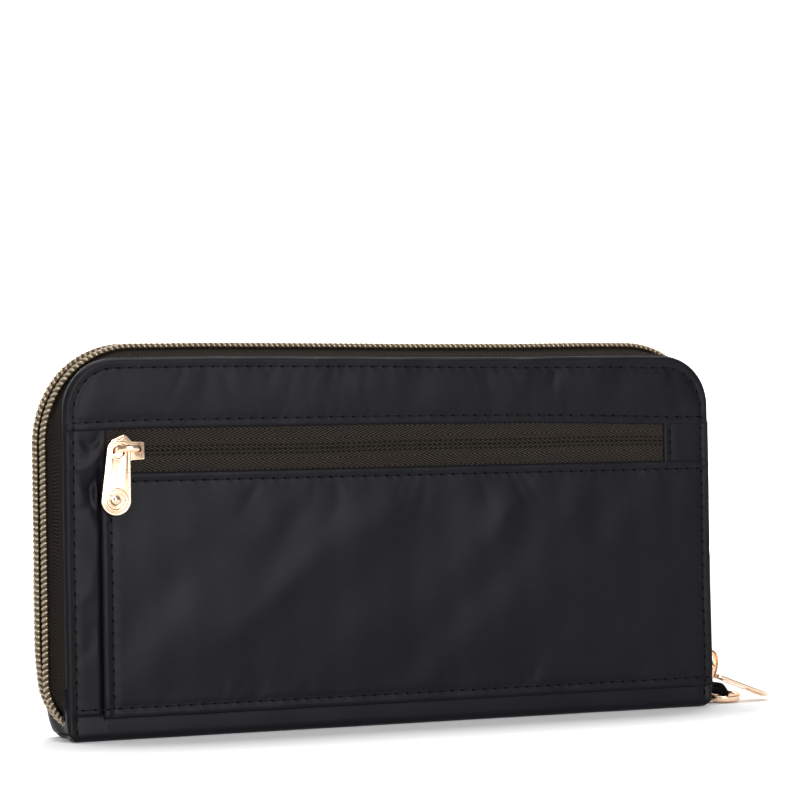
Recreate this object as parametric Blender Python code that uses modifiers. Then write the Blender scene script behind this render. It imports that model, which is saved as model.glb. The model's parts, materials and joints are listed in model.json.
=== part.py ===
"""Zip-around travel wallet for a passport, standing on its spine.

Frame: origin at the middle of the spine's underside, +X along the wallet's width, the zipped front
pocket on the -Y side, +Z up. Two covers hinge on the spine, and a coil zip joins them round the
other three sides. All lengths are in metres.
"""

import math

import bmesh
import bpy
from mathutils import Matrix, Vector

MM = 0.001

# Driving dimensions of the closed wallet.
WIDTH = 220 * MM
HEIGHT = 115 * MM
DEPTH = 24 * MM
TOP_CORNER_RADIUS = 19 * MM
GAP = 0.3 * MM  # clearance between pieces that touch on the real object

# Covers: each turns about a rolled bottom edge.
ROLL_RADIUS = 3 * MM
HINGE_Y = DEPTH / 2 - ROLL_RADIUS
HINGE_Z = ROLL_RADIUS
SKIN = 0.7 * MM  # outer nylon with its backing
COVER_LAYERS_FROM_Z = 6.3 * MM
BOARD_INSET = 1.5 * MM

# Front pocket, from the outer face of the front cover inwards.
FACE_Y = -DEPTH / 2
BASE_FACE_Y = FACE_Y + SKIN + GAP
POCKET_FLOOR_Y = BASE_FACE_Y + 3 * MM
POCKET_FLOOR = 0.6 * MM
PATCH_LEFT = -98.5 * MM
PATCH_BOTTOM = 6.7 * MM
PATCH_TOP = 80.6 * MM
UPPER_PANEL_BOTTOM = 93.7 * MM
POCKET_ZIP_Z = 87.8 * MM
END_TAB_LEFT = 93.5 * MM
POCKET_RECESS_LEFT = -97.7 * MM
POCKET_RECESS_TOP = 98 * MM

# Zips: half the slit between the two halves, and the coil's and the tape's sizes.
SLIT = 0.5 * MM
TAPE = 0.5 * MM
COIL_REACH = 2.9 * MM  # from the middle of the zip to the outer edge of the coil
MAIN_COIL = 1.4 * MM
MAIN_TAPE_RISE = 2.4 * MM  # how far the closed zip stands outside the covers' edge
TAPE_SEAM_Y = 9.6 * MM
MAIN_ZIP_LEFT_END_Z = 18.8 * MM
MAIN_ZIP_RIGHT_END_Z = 7 * MM

# Sliders: plate sizes, the bridge over the outer plate, and the pull tab.
SLIDER_LENGTH = 11.8 * MM
SLIDER_SHOULDER = 7.8 * MM
SLIDER_TAIL = 6.4 * MM
SLIDER_PLATE = 1.1 * MM
SLIDER_INNER_PLATE = 0.8 * MM
SLIDER_WEB = 0.4 * MM
BRIDGE_LENGTH = 8.4 * MM
BRIDGE_HEIGHT = 2.9 * MM  # outer plate's face to the middle of the bridge bar
BRIDGE_WIRE = 1.1 * MM
PULL_THICKNESS = 1 * MM
PULL_TOP_WIDTH = 7.4 * MM
PULL_END_WIDTH = 9.4 * MM
PULL_LENGTH = 22.5 * MM
PULL_EYE_RADIUS = 1.85 * MM
PULL_EYE_RIM = 1.4 * MM

MAIN_SLIDER_Z = 12.8 * MM
MAIN_PULL_DROP = 2.35 * MM  # the main pull hangs low on its bridge
MAIN_PULL_SLOPE = math.radians(25.5)
POCKET_SLIDER_X = -90.5 * MM
POCKET_PULL_HANG = 0.5 * MM  # from the bridge's leg down to the middle of the eye
POCKET_PULL_TILT = math.radians(4.5)  # the pull's end rests a little to the left

# Ring on its ribbon loop at the right end of the spine.
RING_RADIUS = 5.9 * MM
RING_WIRE = 1.7 * MM
RING_Z = 2.3 * MM
RING_INNER_X = 114.3 * MM
LOOP_LEFT = 106.3 * MM
LOOP_RIGHT = 121.9 * MM
LOOP_BOTTOM = 0.4 * MM
LOOP_TOP = 6.6 * MM
LOOP_WIDTH = 5.2 * MM
RIBBON = 0.8 * MM

# Inside.
INSIDE_HALF_WIDTH = 98 * MM
CARD_TIER = 0.45 * MM
CARD_TIER_TOPS = (88 * MM, 78 * MM, 68 * MM)
PASSPORT_LEFT = -98 * MM
PASSPORT_RIGHT = 35 * MM
PASSPORT_TOP = 86 * MM
PASSPORT_HOLLOW = 4.3 * MM
POCKET_WALL = 0.5 * MM
SLIP_POCKET_TOP = 98 * MM
INSIDE_BOTTOM = 7 * MM

ARC_STEP = math.radians(11.25)


# ---------------------------------------------------------------------------------------------
# Scene, materials and collections
# ---------------------------------------------------------------------------------------------
def clear_scene():
    for thing in list(bpy.data.objects):
        bpy.data.objects.remove(thing, do_unlink=True)


def new_collection(name):
    collection = bpy.data.collections.new(name)
    bpy.context.scene.collection.children.link(collection)
    return collection


def new_material(name, colour, roughness, metallic=0.0):
    material = bpy.data.materials.new(name)
    material.use_nodes = True
    shader = material.node_tree.nodes["Principled BSDF"]
    shader.inputs["Base Color"].default_value = (*colour, 1.0)
    shader.inputs["Roughness"].default_value = roughness
    shader.inputs["Metallic"].default_value = metallic
    return material


clear_scene()
PARTS = new_collection("passport_wallet")
CUTTERS = new_collection("cutters")
SHELL_NYLON = new_material("shell_nylon", (0.030, 0.031, 0.034), 0.6)
LINING_NYLON = new_material("lining_nylon", (0.022, 0.022, 0.024), 0.7)
ZIP_TAPE = new_material("zip_tape", (0.033, 0.028, 0.025), 0.85)
COIL = new_material("coil", (0.72, 0.62, 0.45), 0.3, 1.0)
ROSE_GOLD = new_material("rose_gold", (0.93, 0.70, 0.52), 0.2, 1.0)
BOARD = new_material("board", (0.30, 0.29, 0.27), 0.8)


# ---------------------------------------------------------------------------------------------
# Shapes
# ---------------------------------------------------------------------------------------------
def add_object(name, data, material, collection=None):
    thing = bpy.data.objects.new(name, data)
    (collection or PARTS).objects.link(thing)
    if material is not None:
        data.materials.clear()
        data.materials.append(material)
    return thing


def make_cutter(thing):
    for collection in list(thing.users_collection):
        collection.objects.unlink(thing)
    CUTTERS.objects.link(thing)
    thing.hide_render = True
    thing.display_type = "WIRE"
    return thing


def combine(thing, other, operation):
    modifier = thing.modifiers.new(operation.lower(), "BOOLEAN")
    modifier.operation = operation
    modifier.solver = "EXACT"
    modifier.object = make_cutter(other)


def box(name, low, high, material=None):
    """A box between two corners, with its origin at its middle."""
    low = Vector(low)
    high = Vector(high)
    size = high - low
    mesh = bpy.data.meshes.new(name)
    shape = bmesh.new()
    bmesh.ops.create_cube(shape, size=1.0)
    bmesh.ops.scale(shape, vec=size, verts=shape.verts)
    shape.to_mesh(mesh)
    shape.free()
    thing = add_object(name, mesh, material)
    thing.location = (low + high) / 2
    return thing


def bar(name, radius, length, centre, material=None, segments=24):
    """A round bar along X."""
    mesh = bpy.data.meshes.new(name)
    shape = bmesh.new()
    turn = Matrix.Rotation(math.pi / 2, 4, "Y")
    bmesh.ops.create_cone(
        shape, cap_ends=True, segments=segments, radius1=radius, radius2=radius, depth=length, matrix=turn
    )
    shape.to_mesh(mesh)
    shape.free()
    thing = add_object(name, mesh, material)
    thing.location = centre
    return thing


def arc(centre, radius, start, end):
    """Points on an arc, both ends included."""
    steps = max(1, round(abs(end - start) / ARC_STEP))
    points = []
    for step in range(steps + 1):
        angle = start + (end - start) * step / steps
        points.append((centre[0] + radius * math.cos(angle), centre[1] + radius * math.sin(angle)))
    return points


def outline_box(left, right, bottom, top, top_radius=0.0, bottom_radius=0.0):
    """A closed outline of a box with round corners, anticlockwise from its bottom left."""
    quarter = math.pi / 2
    points = []
    corners = (
        (left, bottom, bottom_radius, 2),
        (right, bottom, bottom_radius, 3),
        (right, top, top_radius, 0),
        (left, top, top_radius, 1),
    )
    for x, z, radius, turn in corners:
        inward_x = 1 if x == left else -1
        inward_z = 1 if z == bottom else -1
        if radius:
            centre = (x + inward_x * radius, z + inward_z * radius)
            points += arc(centre, radius, turn * quarter, (turn + 1) * quarter)
        else:
            points.append((x, z))
    return points


def flat_curve(name, outlines, thickness, material=None):
    """A flat plate in its own XY plane, as a filled curve; later outlines are holes."""
    curve = bpy.data.curves.new(name, "CURVE")
    curve.dimensions = "2D"
    curve.fill_mode = "BOTH"
    curve.extrude = thickness / 2
    for outline in outlines:
        spline = curve.splines.new("POLY")
        spline.points.add(len(outline) - 1)
        for point, (x, y) in zip(spline.points, outline):
            point.co = (x, y, 0.0, 1.0)
        spline.use_cyclic_u = True
    return add_object(name, curve, material)


def as_mesh(thing):
    """Replace a curve object by the mesh that it makes, with its caps welded."""
    name = thing.name
    collection = thing.users_collection[0]
    bpy.context.view_layer.update()
    evaluated = thing.evaluated_get(bpy.context.evaluated_depsgraph_get())
    mesh = bpy.data.meshes.new_from_object(evaluated)
    shape = bmesh.new()
    shape.from_mesh(mesh)
    bmesh.ops.remove_doubles(shape, verts=shape.verts, dist=0.01 * MM)
    bmesh.ops.recalc_face_normals(shape, faces=shape.faces)
    shape.to_mesh(mesh)
    shape.free()
    place = thing.matrix_world.copy()
    bpy.data.objects.remove(thing, do_unlink=True)
    solid = bpy.data.objects.new(name, mesh)
    collection.objects.link(solid)
    solid.matrix_world = place
    return solid


def upright_panel(name, outlines, y_low, y_high, material):
    """A flat plate standing in the XZ plane between two Y values; outlines are (x, z) points."""
    panel = flat_curve(name, outlines, y_high - y_low, material)
    panel.rotation_euler = (math.pi / 2, 0.0, 0.0)
    panel.location = (0.0, (y_low + y_high) / 2, 0.0)
    return panel


def perimeter(rise, left_end_z, right_end_z):
    """The line of the zip in the XZ plane: up the left side, over the top and down the right side."""
    quarter = math.pi / 2
    reach = WIDTH / 2 + rise
    radius = TOP_CORNER_RADIUS + rise
    corner_z = HEIGHT - TOP_CORNER_RADIUS
    corner_x = WIDTH / 2 - TOP_CORNER_RADIUS
    points = [(-reach, left_end_z)]
    points += arc((-corner_x, corner_z), radius, 2 * quarter, quarter)
    points += arc((corner_x, corner_z), radius, quarter, 0.0)
    points.append((reach, right_end_z))
    return points


def band(name, rows, thickness, material):
    """An open surface through rows of points, made solid away from the wallet's middle."""
    mesh = bpy.data.meshes.new(name)
    shape = bmesh.new()
    first_y, first_line = rows[0]
    verts = [shape.verts.new((x, first_y, z)) for x, z in first_line]
    edges = [shape.edges.new(pair) for pair in zip(verts, verts[1:])]
    for y, line in rows[1:]:
        moved = bmesh.ops.extrude_edge_only(shape, edges=edges)["geom"]
        new_verts = {old: None for old in verts}
        for edge in [item for item in moved if isinstance(item, bmesh.types.BMEdge)]:
            for vert in edge.verts:
                for linked in vert.link_edges:
                    other = linked.other_vert(vert)
                    if other in new_verts:
                        new_verts[other] = vert
        verts = [new_verts[old] for old in verts]
        for vert, (x, z) in zip(verts, line):
            vert.co = (x, y, z)
        edges = [shape.edges.get(pair) for pair in zip(verts, verts[1:])]
    bmesh.ops.recalc_face_normals(shape, faces=shape.faces)
    middle = Vector((0.0, 0.0, HEIGHT / 2))
    face = shape.faces[:][0]
    if face.normal.dot(face.calc_center_median() - middle) < 0:
        bmesh.ops.reverse_faces(shape, faces=shape.faces)
    shape.to_mesh(mesh)
    shape.free()
    thing = add_object(name, mesh, material)
    solidify = thing.modifiers.new("thickness", "SOLIDIFY")
    solidify.thickness = thickness
    solidify.offset = 1.0
    solidify.use_even_offset = True
    return thing


# ---------------------------------------------------------------------------------------------
# Spine
# ---------------------------------------------------------------------------------------------
def build_spine():
    """Outer skin, board and lining of the spine, stacked from the table upwards."""
    half = 106 * MM
    layers = (
        ("spine_panel", 0.0, 1.2 * MM, 6.2 * MM, SHELL_NYLON),
        ("spine_board", 1.5 * MM, 2.3 * MM, 5.7 * MM, BOARD),
        ("spine_lining", 2.6 * MM, 3.2 * MM, 5.5 * MM, LINING_NYLON),
    )
    for name, bottom, top, half_depth, material in layers:
        box(name, (-half, -half_depth, bottom), (half, half_depth, top), material)


def build_zip_ends():
    """The sewn ends of the main zip, which stay with the spine."""
    half_depth = 5.2 * MM
    radius = 15.8 * MM
    centre = (radius - WIDTH / 2 - MAIN_TAPE_RISE, MAIN_ZIP_LEFT_END_Z - GAP)
    line = arc(centre, radius, math.radians(235), math.radians(180))
    band("zip_end_left", [(-half_depth, line), (half_depth, line)], 2.2 * MM, ZIP_TAPE)
    tail = (100 * MM, LOOP_LEFT - 0.4 * MM)
    reach = WIDTH / 2 - 0.8 * MM
    outline = [
        (tail[0], 3.5 * MM),
        (tail[1], 3.5 * MM),
        (tail[1], LOOP_TOP + GAP),
        (reach, LOOP_TOP + GAP),
        (reach, LOOP_TOP + GAP + 0.9 * MM),
        (tail[0], LOOP_TOP + GAP + 0.9 * MM),
    ]
    upright_panel("zip_end_right", [outline], -half_depth, half_depth, ZIP_TAPE)


def build_ring():
    """A ribbon loop sewn into the spine's right end, and the ring that it holds."""
    loop_height = LOOP_TOP - LOOP_BOTTOM
    outer = outline_box(LOOP_LEFT, LOOP_RIGHT, LOOP_BOTTOM, LOOP_TOP, loop_height * 0.4, loop_height * 0.4)
    inner = outline_box(
        LOOP_LEFT + 2 * RIBBON,
        LOOP_RIGHT - RIBBON,
        LOOP_BOTTOM + RIBBON,
        LOOP_TOP - RIBBON,
        loop_height * 0.3,
        loop_height * 0.3,
    )
    upright_panel("ring_loop", [outer, inner], -LOOP_WIDTH / 2, LOOP_WIDTH / 2, ZIP_TAPE)

    bpy.ops.mesh.primitive_torus_add(
        location=(RING_INNER_X, 0.0, RING_Z),
        major_radius=RING_RADIUS,
        minor_radius=RING_WIRE / 2,
        major_segments=32,
        minor_segments=10,
    )
    ring = bpy.context.object
    ring.data.transform(Matrix.Translation((RING_RADIUS, 0.0, 0.0)))
    ring.name = "key_ring"
    for collection in list(ring.users_collection):
        collection.objects.unlink(ring)
    PARTS.objects.link(ring)
    ring.data.materials.clear()
    ring.data.materials.append(ROSE_GOLD)
    ring.data.shade_smooth()


# ---------------------------------------------------------------------------------------------
# Covers
# ---------------------------------------------------------------------------------------------
def cover_outline(inset, bottom):
    """The outline of a cover layer with round top corners, drawn in from the cover's edge."""
    half = WIDTH / 2 - inset
    return outline_box(-half, half, bottom, HEIGHT - inset, TOP_CORNER_RADIUS - inset)


def cover_skin(name, y_outer, y_inner, side):
    """A cover's outer panel with its rolled bottom edge; side is -1 for the front cover."""
    low, high = sorted((y_outer, y_inner))
    skin = as_mesh(upright_panel(name, [cover_outline(0.0, HINGE_Z)], low, high, SHELL_NYLON))
    roll = bar(name + "_roll", ROLL_RADIUS, WIDTH - 1 * MM, (0.0, side * HINGE_Y, HINGE_Z))
    combine(skin, roll, "UNION")
    skin.data.materials.clear()
    skin.data.materials.append(SHELL_NYLON)
    return skin


def build_front_cover():
    """Base panel with the pocket's hollow, stiffening board and lining."""
    base_inner = POCKET_FLOOR_Y + POCKET_FLOOR
    base = cover_skin("front_base_panel", BASE_FACE_Y, base_inner, -1)
    hollow = box(
        "pocket_hollow",
        (POCKET_RECESS_LEFT, BASE_FACE_Y - 1 * MM, 8 * MM),
        (WIDTH / 2 - BOARD_INSET, POCKET_FLOOR_Y, POCKET_RECESS_TOP),
    )
    combine(base, hollow, "DIFFERENCE")
    board_y = base_inner + GAP
    board = cover_outline(BOARD_INSET, COVER_LAYERS_FROM_Z)
    upright_panel("front_board", [board], board_y, board_y + 0.8 * MM, BOARD)
    lining_y = board_y + 0.8 * MM + GAP
    lining = cover_outline(0.5 * MM, COVER_LAYERS_FROM_Z)
    upright_panel("front_lining", [lining], lining_y, lining_y + 0.5 * MM, LINING_NYLON)
    return lining_y + 0.5 * MM


def build_front_pocket():
    """Upper panel, patch pocket, end tab and the reverse-coil zip between them."""
    edge = 0.4 * MM
    face = (FACE_Y, FACE_Y + SKIN)
    right = WIDTH / 2 - edge
    upper = outline_box(-right, right, UPPER_PANEL_BOTTOM, HEIGHT - edge, TOP_CORNER_RADIUS - edge)
    upright_panel("upper_panel", [upper], *face, SHELL_NYLON)
    patch = outline_box(PATCH_LEFT, right, PATCH_BOTTOM, PATCH_TOP, 0.0, 1 * MM)
    upright_panel("pocket_patch", [patch], *face, SHELL_NYLON)
    tab = outline_box(END_TAB_LEFT, right, PATCH_TOP + GAP, UPPER_PANEL_BOTTOM - GAP)
    upright_panel("pocket_end_tab", [tab], *face, SHELL_NYLON)

    tape_y = FACE_Y + SKIN + GAP
    coil_y = tape_y + TAPE + GAP
    ends = (POCKET_RECESS_LEFT + GAP, WIDTH / 2 - BOARD_INSET - GAP)
    coil_ends = (POCKET_SLIDER_X + SLIDER_LENGTH / 2 + 0.5 * MM, ends[1] - 2 * MM)
    tape_width = 9.3 * MM
    for name, side in (("upper", 1), ("lower", -1)):
        near = POCKET_ZIP_Z + side * SLIT
        tape = sorted((near, POCKET_ZIP_Z + side * tape_width))
        coil = sorted((near, POCKET_ZIP_Z + side * COIL_REACH))
        box(f"pocket_tape_{name}", (ends[0], tape_y, tape[0]), (ends[1], tape_y + TAPE, tape[1]), ZIP_TAPE)
        low = (coil_ends[0], coil_y, coil[0])
        high = (coil_ends[1], coil_y + 0.9 * MM, coil[1])
        box(f"pocket_coil_{name}", low, high, COIL)


def build_back_cover():
    """Outer panel, stiffening board and lining."""
    outer = DEPTH / 2
    skin_depth = 2.7 * MM
    cover_skin("back_panel", outer, outer - skin_depth, 1)
    board_y = outer - skin_depth - GAP
    board = cover_outline(BOARD_INSET, COVER_LAYERS_FROM_Z)
    upright_panel("back_board", [board], board_y - 1 * MM, board_y, BOARD)
    lining_y = board_y - 1 * MM - GAP
    lining = cover_outline(0.5 * MM, COVER_LAYERS_FROM_Z)
    upright_panel("back_lining", [lining], lining_y - 0.5 * MM, lining_y, LINING_NYLON)
    return lining_y - 0.5 * MM


def build_main_zip():
    """One half of tape and coil on each cover, meeting in the middle with a slit."""
    coil_rise = MAIN_TAPE_RISE + TAPE + GAP
    ends = (MAIN_ZIP_LEFT_END_Z, MAIN_ZIP_RIGHT_END_Z)
    at_cover = perimeter(GAP, *ends)
    at_coil = perimeter(MAIN_TAPE_RISE, *ends)
    under_coil = perimeter(coil_rise, *ends)
    for name, side in (("front", -1), ("back", 1)):
        tape_rows = [
            (side * TAPE_SEAM_Y, at_cover),
            (side * (COIL_REACH + GAP), at_coil),
            (side * SLIT, at_coil),
        ]
        band(f"{name}_zip_tape", tape_rows, TAPE, ZIP_TAPE)
        coil_rows = [(side * COIL_REACH, under_coil), (side * SLIT, under_coil)]
        band(f"{name}_zip_coil", coil_rows, MAIN_COIL, COIL)


# ---------------------------------------------------------------------------------------------
# Sliders and pulls, made in their own frame: X along the zip, Y across it, Z outwards
# ---------------------------------------------------------------------------------------------
def slider_outline(shrink):
    """A slider plate: a wide shoulder at +X that narrows to the tail."""
    half = SLIDER_LENGTH / 2 - shrink
    shoulder = SLIDER_SHOULDER / 2 - shrink
    tail = SLIDER_TAIL / 2 - shrink
    return [
        (-half, -tail),
        (half * 0.35, -shoulder),
        (half * 0.75, -shoulder * 0.85),
        (half, -shoulder * 0.45),
        (half, shoulder * 0.45),
        (half * 0.75, shoulder * 0.85),
        (half * 0.35, shoulder),
        (-half, tail),
    ]


def bridge_path():
    """A squared arch with round corners, standing on the outer plate's face."""
    half = (BRIDGE_LENGTH - BRIDGE_WIRE) / 2
    radius = 1.2 * MM
    foot = -0.6 * MM
    top = BRIDGE_HEIGHT
    points = [(-half, foot)]
    points += arc((-half + radius, top - radius), radius, math.pi, math.pi / 2)
    points += arc((half - radius, top - radius), radius, math.pi / 2, 0.0)
    points.append((half, foot))
    return points


def build_slider(name, inner_space, place):
    """Outer plate, inner plate, the web that joins them and the bridge, as one body.

    The outer plate's face is at Z = 0, and inner_space is the room between the plates.
    """
    outer = as_mesh(flat_curve(name, [slider_outline(0.0)], SLIDER_PLATE))
    outer.data.transform(Matrix.Translation((0.0, 0.0, -SLIDER_PLATE / 2)))
    outer.data.materials.clear()
    outer.data.materials.append(ROSE_GOLD)
    inner = as_mesh(flat_curve(name + "_inner", [slider_outline(0.5 * MM)], SLIDER_INNER_PLATE))
    inner_z = -SLIDER_PLATE - inner_space - SLIDER_INNER_PLATE / 2
    inner.data.transform(Matrix.Translation((0.0, 0.0, inner_z)))
    overlap = 0.2 * MM
    web = box(
        name + "_web",
        (1.5 * MM, -SLIDER_WEB / 2, -SLIDER_PLATE - inner_space - overlap),
        (4.5 * MM, SLIDER_WEB / 2, -SLIDER_PLATE + overlap),
    )
    curve = bpy.data.curves.new(name + "_bridge", "CURVE")
    curve.dimensions = "3D"
    curve.bevel_depth = BRIDGE_WIRE / 2
    curve.bevel_resolution = 2
    curve.use_fill_caps = True
    spline = curve.splines.new("POLY")
    path = bridge_path()
    spline.points.add(len(path) - 1)
    for point, (x, z) in zip(spline.points, path):
        point.co = (x, 0.0, z, 1.0)
    bridge = as_mesh(add_object(name + "_bridge", curve, None))
    for other in (inner, web, bridge):
        other.parent = outer
        combine(outer, other, "UNION")
    outer.matrix_world = place
    return outer


def pull_outline(top):
    """A pull tab that hangs along -X: a straight top with round corners, and a round end."""
    end_radius = PULL_END_WIDTH / 2
    corner = 2.3 * MM
    half_top = PULL_TOP_WIDTH / 2
    end = top - PULL_LENGTH + end_radius
    points = arc((top - corner, half_top - corner), corner, 0.0, math.pi / 2)
    points += arc((end, 0.0), end_radius, math.radians(95), math.radians(265))
    points += arc((top - corner, corner - half_top), corner, -math.pi / 2, 0.0)
    return points


def build_pull(name, top, eye, place):
    """A pull tab whose origin is on its joint; top and eye are its top edge and its eye along X."""
    eye_line = arc((eye, 0.0), PULL_EYE_RADIUS, 0.0, 2 * math.pi)[:-1]
    pull = flat_curve(name, [pull_outline(top), eye_line], PULL_THICKNESS, ROSE_GOLD)
    pull.matrix_world = place
    return pull


def axes_at(origin, along, across, outwards):
    """A placement whose X, Y and Z axes point along three given directions."""
    turn = Matrix((along, across, outwards)).transposed().to_4x4()
    return Matrix.Translation(origin) @ turn


def build_main_slider():
    """The slider of the main zip, at the closed end low on the right side, with its pull."""
    coil_top = MAIN_TAPE_RISE + TAPE + GAP + MAIN_COIL
    face_x = WIDTH / 2 + coil_top + GAP + SLIDER_PLATE
    inner_space = coil_top + GAP - MAIN_TAPE_RISE + GAP
    place = axes_at((face_x, 0.0, MAIN_SLIDER_Z), (0, 0, -1), (0, 1, 0), (1, 0, 0))
    build_slider("main_slider", inner_space, place)

    joint = (face_x + 1.2 * MM, 0.0, MAIN_SLIDER_Z - MAIN_PULL_DROP)
    top = PULL_EYE_RIM / 2
    eye = -(PULL_EYE_RIM / 2 + PULL_EYE_RADIUS)
    lean = Vector((math.cos(MAIN_PULL_SLOPE), 0.0, -math.sin(MAIN_PULL_SLOPE)))
    upwards = Vector((math.sin(MAIN_PULL_SLOPE), 0.0, math.cos(MAIN_PULL_SLOPE)))
    place = axes_at(joint, -lean, upwards.cross(-lean), upwards)
    build_pull("main_pull", top, eye, place)


def build_pocket_slider():
    """The slider of the front pocket's zip, at its closed left end, with its pull hanging down."""
    face_y = FACE_Y + SKIN - SLIDER_PLATE
    inner_space = TAPE + 0.9 * MM + 3 * GAP
    place = axes_at((POCKET_SLIDER_X, face_y, POCKET_ZIP_Z), (-1, 0, 0), (0, 0, 1), (0, -1, 0))
    build_slider("pocket_slider", inner_space, place)

    leg_x = POCKET_SLIDER_X - (BRIDGE_LENGTH - BRIDGE_WIRE) / 2
    joint = (leg_x, face_y - 1.1 * MM, POCKET_ZIP_Z)
    top = PULL_EYE_RADIUS - POCKET_PULL_HANG + PULL_EYE_RIM
    upwards = Vector((math.sin(POCKET_PULL_TILT), 0.0, math.cos(POCKET_PULL_TILT)))
    outwards = Vector((0.0, -1.0, 0.0))
    place = axes_at(joint, upwards, outwards.cross(upwards), outwards)
    build_pull("pocket_pull", top, -POCKET_PULL_HANG, place)


# ---------------------------------------------------------------------------------------------
# Inside pockets
# ---------------------------------------------------------------------------------------------
def build_card_tiers(from_y):
    """Three stepped card pockets on the inside of the front cover, the lowest one nearest."""
    y = from_y + GAP
    for number, top in enumerate(CARD_TIER_TOPS, start=1):
        low = (-INSIDE_HALF_WIDTH, y, INSIDE_BOTTOM)
        high = (INSIDE_HALF_WIDTH, y + CARD_TIER, top)
        box(f"card_tier_{number}", low, high, LINING_NYLON)
        y += CARD_TIER + GAP


def build_document_pockets(from_y):
    """A full-width slip pocket and an open-topped passport pocket on the back cover."""
    y = from_y - GAP
    low = (-INSIDE_HALF_WIDTH, y - POCKET_WALL, INSIDE_BOTTOM)
    high = (INSIDE_HALF_WIDTH, y, SLIP_POCKET_TOP)
    box("slip_pocket", low, high, LINING_NYLON)
    back = y - POCKET_WALL - GAP
    front = back - PASSPORT_HOLLOW - POCKET_WALL
    pocket = box(
        "passport_pocket",
        (PASSPORT_LEFT, front, INSIDE_BOTTOM),
        (PASSPORT_RIGHT, back, PASSPORT_TOP),
        LINING_NYLON,
    )
    hollow = box(
        "passport_hollow",
        (PASSPORT_LEFT + POCKET_WALL, front + POCKET_WALL, INSIDE_BOTTOM + POCKET_WALL),
        (PASSPORT_RIGHT - POCKET_WALL, back + 1 * MM, PASSPORT_TOP + 1 * MM),
    )
    combine(pocket, hollow, "DIFFERENCE")


build_spine()
build_zip_ends()
build_ring()
front_inner_y = build_front_cover()
build_front_pocket()
back_inner_y = build_back_cover()
build_main_zip()
build_main_slider()
build_pocket_slider()
build_card_tiers(front_inner_y)
build_document_pockets(back_inner_y)
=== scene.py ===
"""Looks of the zip-around passport wallet: nylon panels, coil zips, stitching, metal pulls, studio.

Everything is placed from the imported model's boxes, in metres: +X along the wallet, -Y out of the
front cover with the zipped pocket, +Z up. A side of -1 means the front cover and +1 the back one.
"""

import json
import math

import bmesh
import bpy
import numpy as np
from mathutils import Matrix, Vector


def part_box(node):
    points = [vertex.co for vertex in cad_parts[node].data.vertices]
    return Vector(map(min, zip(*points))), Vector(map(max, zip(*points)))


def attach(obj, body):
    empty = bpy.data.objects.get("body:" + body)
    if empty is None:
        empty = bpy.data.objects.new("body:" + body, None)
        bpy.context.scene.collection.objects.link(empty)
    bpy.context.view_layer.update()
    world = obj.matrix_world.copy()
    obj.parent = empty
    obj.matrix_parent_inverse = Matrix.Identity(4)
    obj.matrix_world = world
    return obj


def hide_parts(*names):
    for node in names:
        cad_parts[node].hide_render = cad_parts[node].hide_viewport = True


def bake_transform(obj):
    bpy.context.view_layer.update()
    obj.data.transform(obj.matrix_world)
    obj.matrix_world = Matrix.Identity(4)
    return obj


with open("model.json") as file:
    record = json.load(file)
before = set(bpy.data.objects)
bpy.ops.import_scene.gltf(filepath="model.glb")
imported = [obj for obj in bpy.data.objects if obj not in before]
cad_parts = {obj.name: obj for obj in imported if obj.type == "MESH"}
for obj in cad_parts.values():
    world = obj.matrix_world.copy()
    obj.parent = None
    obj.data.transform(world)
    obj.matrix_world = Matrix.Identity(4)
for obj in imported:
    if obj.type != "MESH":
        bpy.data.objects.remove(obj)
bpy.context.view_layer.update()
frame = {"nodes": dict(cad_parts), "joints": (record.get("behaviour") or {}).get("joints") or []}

MM = 0.001
FRONT = -1
REAR = 1
COVER = {FRONT: "front", REAR: "back"}
SCENE = bpy.context.scene

# ---- Sizes, most of them read from the frame ----
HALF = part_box("back_panel")[1].x
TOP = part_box("back_panel")[1].z
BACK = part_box("back_panel")[1].y
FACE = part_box("upper_panel")[0].y
CORNER = 16 * MM  # round top corners of the covers
EDGE_ROUND = 1.3 * MM  # how far the covers' edges are rounded
ZIP_CORNER = 25 * MM  # the zip takes its corners wider
ROLL = 3 * MM  # rolled bottom edges, which are the covers' hinges
HINGE_Y = BACK - ROLL
SKIN = 0.7 * MM
SHELL_FACE = FACE + 0.5 * MM  # the base panel lies a little behind the panels sewn on it

UPPER_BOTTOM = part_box("upper_panel")[0].z
PATCH_LOW, PATCH_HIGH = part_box("pocket_patch")
TAB_LOW, TAB_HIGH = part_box("pocket_end_tab")
POCKET_ZIP_Z = (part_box("pocket_tape_upper")[0].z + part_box("pocket_tape_lower")[1].z) / 2

EDGE_SEAM = 3 * MM  # from the covers' edge to the stitching round them
FOLD_SEAM = 3.1 * MM  # from a folded edge to its stitching
TOP_FOLD_SEAM = 2.6 * MM  # the same at the pocket's top edge
TOP_GATHERS = 3.5 * MM  # from the covers' top to the gathers under its stitching
SEAM_END = 1.2 * MM  # how far from an edge a seam ends
STITCH_PITCH = 3.8 * MM
THREAD = 0.18 * MM

TAPE_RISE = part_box("front_zip_tape")[1].z - TOP - 0.5 * MM
COIL_PITCH = 1.75 * MM
COIL_WIRE = 0.54 * MM
ZIP_END_CENTRE = Vector((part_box("zip_end_left")[0].x + 18 * MM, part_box("zip_end_left")[1].z))
ZIP_END_RADIUS = 13.4 * MM
ZIP_END_ANGLE = 235  # where the curved left end starts, in degrees
ZIP_RIGHT_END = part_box("front_zip_tape")[0].z

BRIDGE_TOP = 3.45 * MM  # from a slider's outer plate to the top of its bridge
MAIN_PULL_SLOPE = 21.5  # how steeply the main pull hangs, in degrees
POCKET_PULL_TILT = 4.0  # how far the pocket pull leans, in degrees

SEED = 11


# ---- Meshes ----
def add_to_scene(name, data):
    thing = bpy.data.objects.new(name, data)
    SCENE.collection.objects.link(thing)
    return thing


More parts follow.
